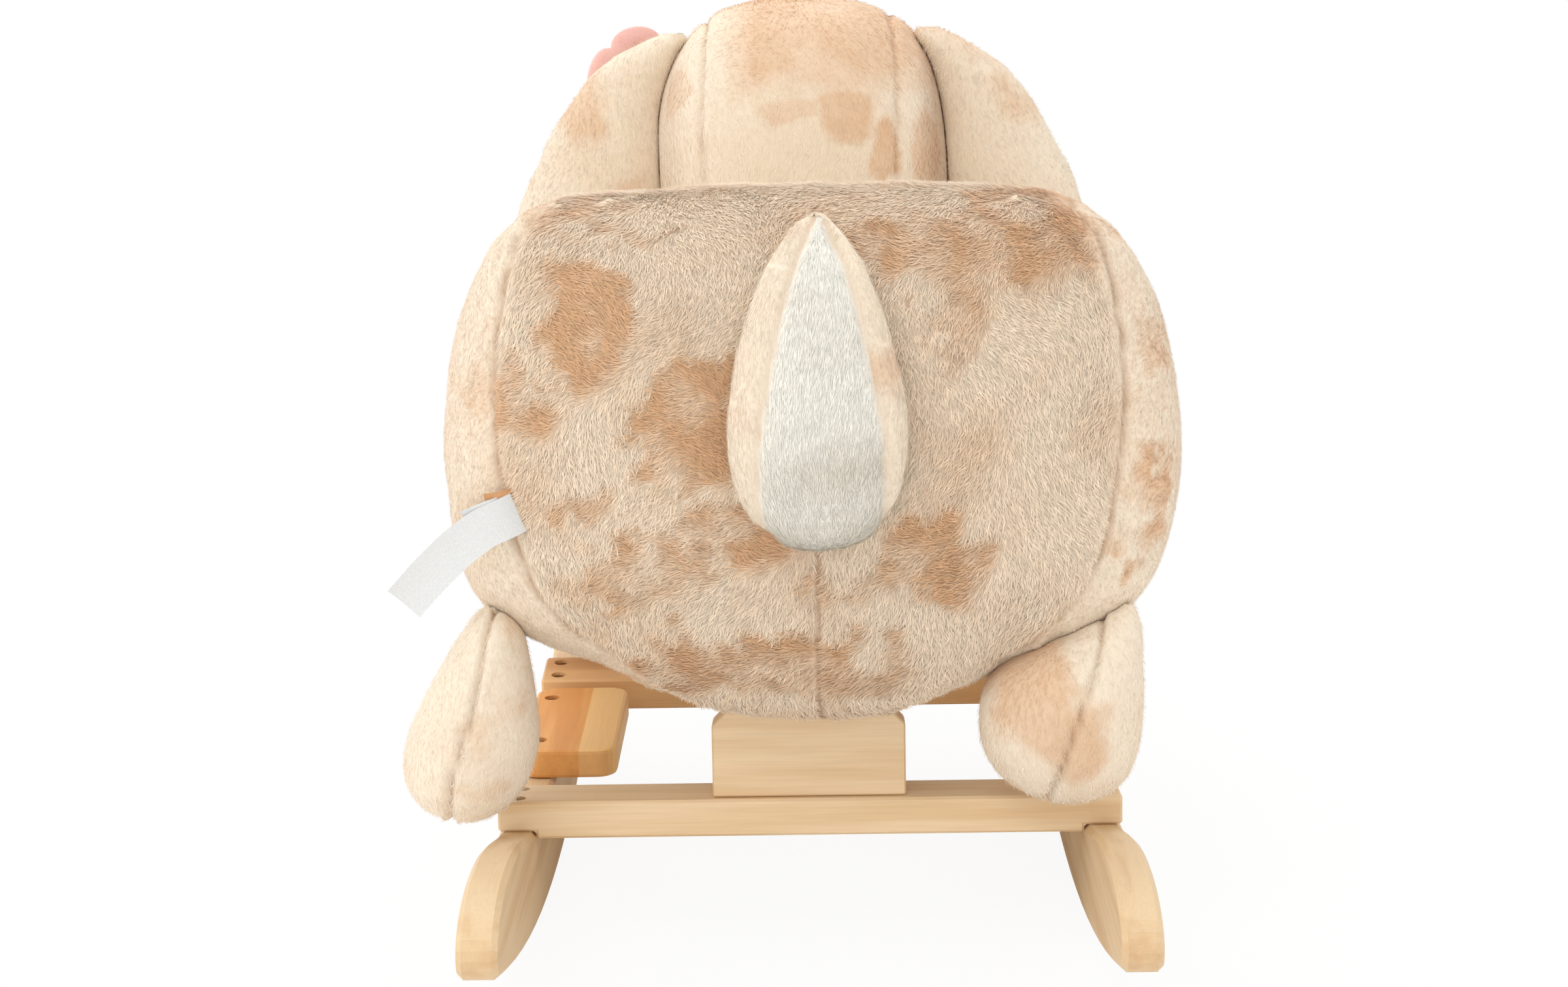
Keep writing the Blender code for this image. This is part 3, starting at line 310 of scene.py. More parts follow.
@dataclass(frozen=True)
class PlushFinish:
    """Plush pile: nap patches, a soft mottle and a fine fibre pattern.

    The attribute nap darkens it, mostly where the pile is brushed the other way and on the right
    hind leg partly as painted shade; panel turns it to the second cloth, and crease darkens it
    with painted shade in a seam or fold, beside the ears and where a piece is pressed on another.
    On tufts, tip runs from 0 at the root to 1 at the end and darkens the root as painted shade,
    and strand is a random share for each.
    """

    name: str
    light: Colour
    brushed: Colour
    second: Colour | None = None
    second_brushed: Colour | None = None
    fibre: float = 0.0011
    stretch: float = 0.3
    relief: float = 0.5
    tufted: bool = False
    sheen: float = 0.12
    roughness: float = 0.95
    mottle_scale: float = 24.0
    mottle_share: float = 0.9
    lock_scale: float = 420.0
    root_shade: float = 0.78
    strand_shade: float = 0.12
    clump_shade: float = 0.0

    def tuft_tone(self, graph: Graph, place: Socket) -> Socket:
        """How light a tuft is: darkened at the root as painted shade, with its own shade and that of its
        lock.

        Args:
            graph: The material's tree.
            place: The place, which sets the lock's shade.

        Returns:
            How light the tuft is.
        """
        depth = graph.span(graph.attribute("tip"), self.root_shade, 1.0)
        strand = graph.span(graph.attribute("strand"), 1.0 - self.strand_shade,
                            1.0 + self.strand_shade)
        locks = graph.noise(graph.stretched(place, (1.0, 1.0, 0.4)), self.lock_scale,
                            2.0, 0.6)
        clump = graph.span(locks, 1.0 - self.clump_shade, 1.04, 0.36, 0.60)
        return graph.math("MULTIPLY", graph.math("MULTIPLY", depth, strand), clump)

    def build(self) -> bpy.types.Material:
        """Make the material.

        Returns:
            The new material.
        """
        material, graph, shader = new_material(self.name)
        place = graph.add("ShaderNodeTexCoord").outputs["Object"]
        mottle = graph.noise(place, self.mottle_scale, 4.0, 0.6)
        lean = graph.math("MULTIPLY", graph.math("SUBTRACT", mottle, 0.5),
                          self.mottle_share)
        share = graph.math("ADD", graph.attribute("nap"), lean, clamp=True)
        colour = graph.mix(share, self.light, self.brushed)
        if self.second:
            other = graph.mix(share, self.second, self.second_brushed or self.second)
            colour = graph.mix(graph.attribute("panel"), colour, other)
        if self.tufted:
            tone = self.tuft_tone(graph, place)
        else:
            flat = graph.stretched(place, (1.0, 1.0, self.stretch))
            fibres = graph.noise(flat, 1.0 / self.fibre, 3.0, 0.7)
            tone = graph.span(fibres, 0.94, 1.04, 0.3, 0.7)
            graph.fill(shader, {"Normal": graph.bump(fibres, self.relief, 0.0007)})
        colour = graph.scaled(colour, tone)
        # Painted shade: crease darkens the colour towards a warm brown in seams, folds, beside the ears and
        # where parts press together
        deep = graph.vector_math("MULTIPLY", {0: colour, 1: CREASE_SHADE_TINT}).outputs[0]
        crease = graph.math("MULTIPLY", graph.attribute("crease"), CREASE_SHADE_STRENGTH)
        graph.fill(shader, {"Base Color": graph.mix(crease, colour, deep),
                            "Roughness": self.roughness, "Specular IOR Level": 0.15,
                            "Sheen Weight": self.sheen, "Sheen Roughness": 0.6})
        return material


@dataclass(frozen=True)
class WoodFinish:
    """Bare smooth wood with straight grain and darker end grain."""

    name: str
    pale: Colour
    band: Colour
    end: Colour
    grain: Grain
    ring: float = 0.012
    pore_scale: float = 1400.0
    arc_scale: float = 160.0
    strip: Colour | None = None
    strip_from: float = 0.0

    def build(self) -> bpy.types.Material:
        """Make the material; strip colours the wood on the inner side of strip_from.

        Returns:
            The new material.
        """
        material, graph, shader = new_material(self.name)
        coords = graph.add("ShaderNodeTexCoord")
        place = coords.outputs["Object"]
        coarse, fine = [1.0, 1.0, 1.0], [1.0, 1.0, 1.0]
        coarse[self.grain.value], fine[self.grain.value] = 0.06, 0.02
        along = graph.stretched(place, coarse)
        rings = graph.noise(along, 1.0 / self.ring, 3.0, 0.55)
        bands = graph.math("MULTIPLY", graph.ramp(rings, 0.42, 0.66), 0.75)
        colour = graph.mix(bands, self.pale, self.band)
        pores = graph.noise(graph.stretched(place, fine), self.pore_scale, 2.0, 0.6)
        if self.strip:
            middle = graph.vector_math("SUBTRACT", {0: place, 1: (SHIFT_X, 0.0, 0.0)})
            width = graph.math("ABSOLUTE", graph.add(
                "ShaderNodeSeparateXYZ", {0: middle.outputs[0]}).outputs[0])
            sway = graph.math("MULTIPLY", graph.noise(along, 40.0, 1.0), 0.004)
            inner = graph.ramp(graph.math("ADD", width, sway), self.strip_from,
                               self.strip_from + 0.0012)
            colour = graph.mix(inner, self.strip, colour)
        facing = graph.add("ShaderNodeSeparateXYZ", {0: coords.outputs["Normal"]})
        across = graph.math("ABSOLUTE", facing.outputs[self.grain.value])
        ends = graph.math("MULTIPLY", graph.ramp(across, 0.35, 0.95), 0.5)
        arcs = graph.ramp(graph.noise(place, self.arc_scale, 2.0, 0.5), 0.35, 0.65)
        colour = graph.mix(ends, colour, graph.mix(arcs, self.end, self.band))
        shade = graph.span(pores, 0.95, 1.03, 0.3, 0.7)
        graph.fill(shader, {"Base Color": graph.scaled(colour, shade),
                            "Roughness": graph.span(pores, 0.42, 0.62),
                            "Normal": graph.bump(pores, 0.12, 0.0003),
                            "Specular IOR Level": 0.35})
        return material


@dataclass(frozen=True)
class PlainFinish:
    """A plain finish with a fine surface texture: thread, ribbon, metal or glass bead."""

    name: str
    colour: Colour
    shade: Colour
    roughness: float
    metallic: float = 0.0
    scale: float = 900.0
    stretch: tuple[float, float, float] = (1.0, 1.0, 1.0)
    relief: float = 0.2
    coat: float = 0.0

    def build(self) -> bpy.types.Material:
        """Make the material.

        Returns:
            The new material.
        """
        material, graph, shader = new_material(self.name)
        place = graph.add("ShaderNodeTexCoord").outputs["Object"]
        speck = graph.noise(graph.stretched(place, self.stretch), self.scale, 2.0, 0.6)
        rough = graph.span(speck, self.roughness * 0.85, min(1.0, self.roughness * 1.15))
        graph.fill(shader, {
            "Base Color": graph.mix(graph.ramp(speck, 0.35, 0.7), self.colour, self.shade),
            "Roughness": rough, "Normal": graph.bump(speck, self.relief, 0.0003),
            "Metallic": self.metallic, "Coat Weight": self.coat})
        return material


def new_object(name: str, data: bpy.types.ID) -> bpy.types.Object:
    """Make an object at the origin and link it to the scene.

    Args:
        name: The object's name.
        data: What the object shows.

    Returns:
        The new object.
    """
    item = bpy.data.objects.new(name, data)
    bpy.context.scene.collection.objects.link(item)
    return item


def mesh_object(name: str, points: np.ndarray, faces: Iterable[Sequence[int]],
                material: bpy.types.Material | None = None) -> bpy.types.Object:
    """Make a smooth mesh object at the origin, with its faces pointing outwards.

    Args:
        name: The piece's name.
        points: One row of coordinates for each point.
        faces: Point indices of each face.
        material: The finish, if it has one.

    Returns:
        The new object, linked to the scene.
    """
    mesh = bpy.data.meshes.new(name)
    mesh.from_pydata([tuple(p) for p in points], [], [tuple(f) for f in faces])
    shell = bmesh.new()
    shell.from_mesh(mesh)
    bmesh.ops.remove_doubles(shell, verts=shell.verts, dist=1e-7)
    bmesh.ops.recalc_face_normals(shell, faces=shell.faces)
    shell.to_mesh(mesh)
    shell.free()
    mesh.shade_smooth()
    item = new_object(name, mesh)
    if material:
        mesh.materials.append(material)
    return item


def loft(name: str, rings: np.ndarray, material: bpy.types.Material) -> bpy.types.Object:
    """Skin a stack of closed rings and close both ends at a pole.

    Args:
        name: The piece's name.
        rings: Array of rings by points by XYZ.
        material: The finish.

    Returns:
        The closed object.
    """
    count, around = rings.shape[0], rings.shape[1]
    points = rings.reshape(-1, 3)
    faces = []
    for row in range(count - 1):
        for step in range(around):
            after = (step + 1) % around
            faces.append((row * around + step, row * around + after,
                          (row + 1) * around + after, (row + 1) * around + step))
    poles = [rings[0].mean(axis=0), rings[-1].mean(axis=0)]
    points = np.vstack([points, poles])
    for pole, row in ((len(points) - 2, 0), (len(points) - 1, count - 1)):
        for step in range(around):
            faces.append((pole, row * around + step, row * around + (step + 1) % around))
    return mesh_object(name, points, faces, material)


def apply_modifiers(item: bpy.types.Object) -> bpy.types.Object:
    """Turn a piece's modifiers into plain mesh and remove them.

    Args:
        item: The piece.

    Returns:
        The piece, now without modifiers.
    """
    bpy.context.view_layer.update()
    graph = bpy.context.evaluated_depsgraph_get()
    finished = bpy.data.meshes.new_from_object(item.evaluated_get(graph))
    item.modifiers.clear()
    old = item.data
    item.data = finished
    bpy.data.meshes.remove(old)
    return item


def surface_tree(item: bpy.types.Object) -> BVHTree:
    """Make the search tree of a mesh's surface."""
    return BVHTree.FromPolygons([v.co for v in item.data.vertices],
                                [tuple(p.vertices) for p in item.data.polygons])


def node_box(name: str) -> tuple[Vector, Vector]:
    """The middle and the size of the box around a node of the frame."""
    low, high = (Vector(corner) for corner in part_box(name))
    return (low + high) / 2, high - low


def coordinates(item: bpy.types.Object) -> np.ndarray:
    """Read a mesh's points as rows.

    Args:
        item: The piece.

    Returns:
        One row of x, y and z for each point.
    """
    flat = np.empty(len(item.data.vertices) * 3)
    item.data.vertices.foreach_get("co", flat)
    return flat.reshape(-1, 3)


def normals(item: bpy.types.Object) -> np.ndarray:
    """Read a mesh's point normals as rows.

    Args:
        item: The piece.

    Returns:
        One row for each point.
    """
    flat = np.empty(len(item.data.vertices) * 3, dtype=np.float32)
    item.data.vertex_normals.foreach_get("vector", flat)
    return flat.reshape(-1, 3).astype(float)


def move_points(item: bpy.types.Object, points: np.ndarray) -> None:
    """Write a mesh's points."""
    item.data.vertices.foreach_set("co", points.ravel())
    item.data.update()


def store(item: bpy.types.Object, name: str, values: np.ndarray) -> None:
    """Store a number or a vector for each point of a mesh.

    Args:
        item: The piece.
        name: The attribute's name.
        values: One number or one row for each point.
    """
    kind, field_name = ("FLOAT", "value") if values.ndim == 1 else ("FLOAT_VECTOR", "vector")
    layer = item.data.attributes.get(name) or item.data.attributes.new(name, kind, "POINT")
    layer.data.foreach_set(field_name, values.astype(np.float32).ravel())


def fractal(points: np.ndarray, scale: float, seed: float, octaves: int = 3) -> np.ndarray:
    """Smooth noise from about -1 to 1 at each point.

    Args:
        points: Rows of coordinates.
        scale: Waves to the metre.
        seed: A shift that makes each use different.
        octaves: How many finer layers are added.

    Returns:
        One value for each point.
    """
    shift = Vector((seed * 13.7, seed * 7.3, seed * 3.1))
    return np.array([noise.fractal(Vector(p) * scale + shift, 1.0, 2.0, octaves)
                     for p in points])


def rise(value: np.ndarray, start: float, width: float) -> np.ndarray:
    """A straight ramp from 0 at the start to 1 after the width."""
    return np.clip((value - start) / width, 0.0, 1.0)


def fall(value: np.ndarray, end: float, width: float) -> np.ndarray:
    """A straight ramp from 1, a width before the end, down to 0 at the end."""
    return np.clip((end - value) / width, 0.0, 1.0)


def bell(distance: np.ndarray, width: float) -> np.ndarray:
    """A soft bump that is 1 at no distance and fades over the width."""
    return np.exp(-(distance / width) ** 2)


def swell(share: np.ndarray | float, power: float) -> np.ndarray | float:
    """Half width of a rounded end: 1 at the start and 0 at the tip."""
    return np.maximum(0.0, 1.0 - np.abs(share) ** power) ** (1.0 / power)


def superellipse(half: float, up: float, down: float, count: int, power_up: float,
                 power_down: float) -> np.ndarray:
    """Points of a closed rounded section, with its upper and lower half shaped apart.

    Args:
        half: Half width.
        up, down: Reach above and below the middle.
        count: Number of points.
        power_up, power_down: Squareness of the two halves; 2 is an ellipse.

    Returns:
        Rows of across and height.
    """
    angle = 2.0 * np.pi * np.arange(count * 24 + 1) / (count * 24)
    c, s = np.cos(angle), np.sin(angle)
    power = np.where(s >= 0, power_up, power_down)
    across = half * np.sign(c) * np.abs(c) ** (2.0 / power)
    height = np.where(s >= 0, up, down) * np.sign(s) * np.abs(s) ** (2.0 / power)
    walked = np.concatenate([[0.0], np.cumsum(np.hypot(np.diff(across), np.diff(height)))])
    even = walked[-1] * np.arange(count) / count
    return np.stack([np.interp(even, walked, across), np.interp(even, walked, height)], axis=1)


def mirrored_outline(half: Profile, middle: float, count: int) -> np.ndarray:
    """Smooth closed outline from its +X half.

    Args:
        half: Pairs of half width and height, from the top to the bottom.
        middle: The height that the outline is scaled about.
        count: Number of points around.

    Returns:
        Rows of across and height over the middle, evenly spaced.
    """
    knots = [(x, z) for x, z in half] + [(-x, z) for x, z in half[-2:0:-1]]
    total = len(knots)
    curve = []
    for i in range(total):
        p0, p1, p2, p3 = (np.array(knots[(i + k) % total]) for k in (-1, 0, 1, 2))
        for step in range(24):
            t = step / 24
            curve.append(0.5 * (2 * p1 + (p2 - p0) * t + (2 * p0 - 5 * p1 + 4 * p2 - p3) * t ** 2
                                + (3 * p1 - p0 - 3 * p2 + p3) * t ** 3))
    curve.append(curve[0])
    line = np.array(curve)
    walked = np.concatenate([[0.0], np.cumsum(np.hypot(*np.diff(line, axis=0).T))])
    even = walked[-1] * np.arange(count) / count
    return np.stack([np.interp(even, walked, line[:, 0]),
                     np.interp(even, walked, line[:, 1]) - middle], axis=1)


def rounded_steps(count: int, power: float) -> list[tuple[float, float]]:
    """Steps along a rounded end.

    Args:
        count: Number of steps.
        power: Squareness of the end.

    Returns:
        Pairs of the share of the end's depth and the section's scale there.
    """
    turns = [math.pi / 2 * i / count for i in range(count)]
    return [(math.sin(t) ** (2 / power), math.cos(t) ** (2 / power)) for t in turns]


def level_ring(flat: np.ndarray, x: float, y: float, z: float) -> np.ndarray:
    """Lay a flat section level at the height Z, with its middle at X and Y."""
    return np.stack([x + flat[:, 0], y + flat[:, 1], np.full(len(flat), z)], axis=1)


def smoothed(rows: Iterable[Sequence[float]], count: int, passes: int) -> list[np.ndarray]:
    """Draw an even, rounded line through each row of knots.

    Args:
        rows: The knots of each line, an even step apart.
        count: Number of points on a line.
        passes: How often each point is averaged with its neighbours.

    Returns:
        One line for each row.
    """
    lines = []
    for values in rows:
        line = np.interp(np.linspace(0.0, 1.0, count), np.linspace(0.0, 1.0, len(values)),
                         values)
        for _ in range(passes):
            line[2:-2] = (line[:-4] + line[1:-3] + line[2:-2] + line[3:-1] + line[4:]) / 5
        lines.append(line)
    return lines


def comb(item: bpy.types.Object, turn: np.ndarray, outward: float = 0.0) -> None:
    """Store the way that the pile lies: downwards, turned by an angle at each point."""
    store(item, "flow", np.stack([np.sin(turn), outward * np.cos(turn), -np.cos(turn)],
                                 axis=1))


@dataclass(frozen=True)
class Patch:
    """A soft blot on a surface, such as brushed pile, seen along one axis."""

    across: float
    height: float
    reach: tuple[float, float]
    strength: float = 1.0

    def weight(self, across: np.ndarray, height: np.ndarray) -> np.ndarray:
        """How strongly each place lies in the blot, with a ragged edge given by the caller.

        Args:
            across: Distances across the body.
            height: Heights above the floor.

        Returns:
            One strength for each place.
        """
        distance = np.hypot((across - self.across) / self.reach[0],
                            (height - self.height) / self.reach[1])
        return self.strength * fall(distance, 1.2, 0.3)


@dataclass
class Fur:
    """Tufts of pile that lie along a surface, scattered by Geometry Nodes."""

    density: float
    length: float
    width: float
    lift: float
    material: bpy.types.Material
    seed: int = 1
    spread: float = 0.35

    def blade(self) -> bpy.types.Object:
        """Make one tuft: a thin kite along X that rises towards its tip.

        Returns:
            The tuft.
        """
        half, mid = self.width / 2, self.length * 0.4
        rise = self.length * math.sin(self.lift)
        points = np.array([(0, 0, 0), (mid, -half, rise * 0.6), (mid, half, rise * 0.6),
                           (self.length, 0, rise)])
        item = mesh_object("tuft", points, [(0, 1, 2), (2, 1, 3)])
        store(item, "tip", np.array([0.0, 0.5, 0.5, 1.0]))
        return item

    def lay(self, graph: Graph, normal: Socket, seed: Socket, spread: Socket) -> Socket:
        """Lay each tuft along the stored flow, a little apart from its neighbours.

        Args:
            graph: The geometry tree.
            normal: The surface's normal at each root.
            seed: The seed of the tufts' random turns.
            spread: How far they turn.

        Returns:
            The rotation of each tuft.
        """
        flow = graph.add("GeometryNodeInputNamedAttribute", {"Name": "flow"},
                         data_type="FLOAT_VECTOR").outputs[0]
        upright = graph.add("FunctionNodeAlignRotationToVector", {"Vector": normal},
                            axis="Z").outputs[0]
        along = graph.add("FunctionNodeAlignRotationToVector", {
            "Rotation": upright, "Vector": flow}, axis="X", pivot_axis="Z").outputs[0]
        wander = graph.add("FunctionNodeRandomValue", {
            "Min": (-0.12, -0.3, -1.0), "Max": (0.12, 0.2, 1.0), "Seed": seed},
            data_type="FLOAT_VECTOR").outputs[0]
        turn = graph.add("FunctionNodeEulerToRotation", {0: graph.scaled(wander, spread)})
        return graph.add("FunctionNodeRotateRotation", {
            "Rotation": along, "Rotate By": turn.outputs[0]},
            rotation_space="LOCAL").outputs[0]

    def tree(self, blade: bpy.types.Object) -> bpy.types.NodeTree:
        """Build the geometry tree.

        Args:
            blade: The tuft that is repeated.

        Returns:
            A node tree with Density, Seed and Spread inputs.
        """
        tree = bpy.data.node_groups.new("pile", "GeometryNodeTree")
        for name, kind in (("Geometry", "Geometry"), ("Density", "Float"), ("Seed", "Int"),
                           ("Spread", "Float")):
            tree.interface.new_socket(name, in_out="INPUT", socket_type=f"NodeSocket{kind}")
        tree.interface.new_socket("Geometry", in_out="OUTPUT",
                                  socket_type="NodeSocketGeometry")
        graph = Graph(tree)
        given = graph.add("NodeGroupInput").outputs
        pile = graph.add("GeometryNodeInputNamedAttribute", {"Name": "pile"},
                         data_type="FLOAT").outputs[0]
        thick = graph.math("MULTIPLY", given["Density"],
                           graph.math("MINIMUM", pile, 1.0))
        roots = graph.add("GeometryNodeDistributePointsOnFaces", {
            "Mesh": given["Geometry"], "Density": thick, "Seed": given["Seed"]},
            distribute_method="RANDOM")
        turned = self.lay(graph, roots.outputs["Normal"], given["Seed"], given["Spread"])
        chance = graph.add("FunctionNodeRandomValue", {2: 0.65, 3: 1.25},
                           data_type="FLOAT").outputs[1]
        size = graph.math("MULTIPLY", chance, pile)
        strand = graph.add("FunctionNodeRandomValue", {2: 0.0, 3: 1.0, "Seed": 7},
                           data_type="FLOAT").outputs[1]
        tinted = graph.add("GeometryNodeStoreNamedAttribute", {
            "Geometry": roots.outputs["Points"], "Name": "strand", "Value": strand},
            data_type="FLOAT", domain="POINT").outputs[0]
        shape = graph.add("GeometryNodeObjectInfo", {"Object": blade}).outputs["Geometry"]
        tufts = graph.add("GeometryNodeInstanceOnPoints", {
            "Points": tinted, "Instance": shape, "Rotation": turned, "Scale": size}).outputs[0]
        real = graph.add("GeometryNodeRealizeInstances", {0: tufts}).outputs[0]
        dressed = graph.add("GeometryNodeSetMaterial", {
            "Geometry": real, "Material": self.material}).outputs[0]
        graph.add("NodeGroupOutput", {0: dressed})
        return tree

    def grow(self, name: str, skin: bpy.types.Object) -> bpy.types.Object:
        """Grow the tufts on a skin that has the attributes pile, flow and nap.

        Args:
            name: The new piece's name.
            skin: The surface that carries the tufts.

        Returns:
            The tufts as one plain mesh.
        """
        blade = self.blade()
        carrier = new_object(name, skin.data.copy())
        growth = carrier.modifiers.new("pile", "NODES")
        growth.node_group = self.tree(blade)
        given = {"Density": self.density, "Seed": self.seed, "Spread": self.spread}
        for item in growth.node_group.interface.items_tree:
            if item.in_out == "INPUT" and item.name in given:
                growth[item.identifier] = given[item.name]
        piece = apply_modifiers(carrier)
        bpy.data.objects.remove(blade, do_unlink=True)
        piece.data.shade_smooth()
        LOG.info("%s: %d tuft faces", name, len(piece.data.polygons))
        return piece


def dress(item: bpy.types.Object, body: str, slot: str, *nodes: str,
          fill: float | None = None,
          sewn: tuple[Vector, Vector] | None = None) -> bpy.types.Object:
    """Tell the frame what a piece rides on and what it stands for.

    Args:
        item: The piece.
        body: The frame's body that carries it.
        slot: The record's material slot.
        nodes: The frame's nodes that it replaces.
        fill: How tightly it is stuffed, if it is a padded piece; not used.
        sewn: Where its sewn root ends and where it swings freely, if it bends between.

    Returns:
        The same piece.
    """
    if sewn:
        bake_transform(item, ROOT, body, *sewn)
    else:
        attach(item, body)
    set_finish(item, slot)
    if nodes:
        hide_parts(*nodes)
    LOG.info("%s rides on %s", item.name, body)
    return item


class Palette:
    """The materials of the whole toy, each built once."""

    def __init__(self) -> None:
        """Build every material."""
        light, brushed = srgb(240, 225, 203), srgb(226, 190, 154)
        cream, cream_brushed = srgb(246, 242, 231), srgb(226, 219, 204)
        self.plush = PlushFinish("beige_pile", light, brushed).build()
        self.tufts = PlushFinish("beige_tufts", srgb(247, 228, 203), srgb(227, 184, 142),
                                 tufted=True, clump_shade=0.11).build()
        self.down = PlushFinish("beige_down", srgb(246, 232, 212), srgb(230, 195, 160),
                                tufted=True, root_shade=0.90, strand_shade=0.04,
                                clump_shade=0.05).build()
        self.tail = PlushFinish("tail_pile", light, brushed, cream, cream_brushed).build()
        self.tail_tufts = PlushFinish("tail_tufts", srgb(247, 233, 213), srgb(231, 196, 161),
                                      srgb(251, 248, 238), srgb(228, 220, 204),
                                      tufted=True, clump_shade=0.08).build()
        self.cream = PlushFinish("cream_pile", cream, cream_brushed).build()
        self.petal = PlushFinish("pink_pile", srgb(245, 200, 191), srgb(236, 178, 168),
                                 fibre=0.0014, stretch=1.0).build()
        self.ribbon = PlainFinish("white_satin", srgb(224, 224, 222), srgb(212, 212, 210), 0.45,
                                  scale=2600.0, stretch=(1.0, 1.0, 0.4)).build()
        self.tan_ribbon = PlainFinish("tan_weave", srgb(214, 160, 112), srgb(196, 140, 92),
                                      0.7, scale=2200.0).build()
        self.thread = PlainFinish("brown_thread", srgb(128, 88, 68), srgb(96, 62, 46), 0.55,
                                  scale=1600.0, stretch=(0.2, 1.0, 1.0), relief=0.8).build()
        self.eye = PlainFinish("black_bead", (0.012, 0.01, 0.009, 1.0),
                               (0.02, 0.016, 0.014, 1.0), 0.08, scale=60.0, relief=0.0,
                               coat=1.0).build()
        self.steel = PlainFinish("bronzed_screw", srgb(150, 108, 72), srgb(112, 78, 50), 0.42,
                                 metallic=0.6, scale=1500.0).build()


def fuzz(item: bpy.types.Object, material: bpy.types.Material, seed: int,
         density: float = 380000.0, length: float = 0.0030,
         share: np.ndarray | float = 1.0,
         sewn: tuple[Vector, Vector] | None = None) -> bpy.types.Object:
    """Grow short fine pile on a plush piece, on the same body and slot.

    Args:
        item: The dressed piece.
        material: The tufts' material.
        seed: The seed of their places.
        density: Tufts to the square metre.
        length: How long the tufts are.
        share: How much of the pile stands at each point of the piece.
        sewn: Where the piece bends, if it does.

    Returns:
        The pile.
    """
    points = coordinates(item)
    store(item, "pile", np.full(len(points), 0.9) * share)
    comb(item, fractal(points, 14.0, 80.0 + seed, 2) * 1.2, 0.2)
    pile = Fur(density, length, 0.00045, 0.35, material, seed=seed, spread=0.6)
    tufts = pile.grow(item.name + "_pile", item)
    body = item["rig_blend"][1] if sewn else item["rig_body"]
    return dress(tufts, body, item["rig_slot"], sewn=sewn)


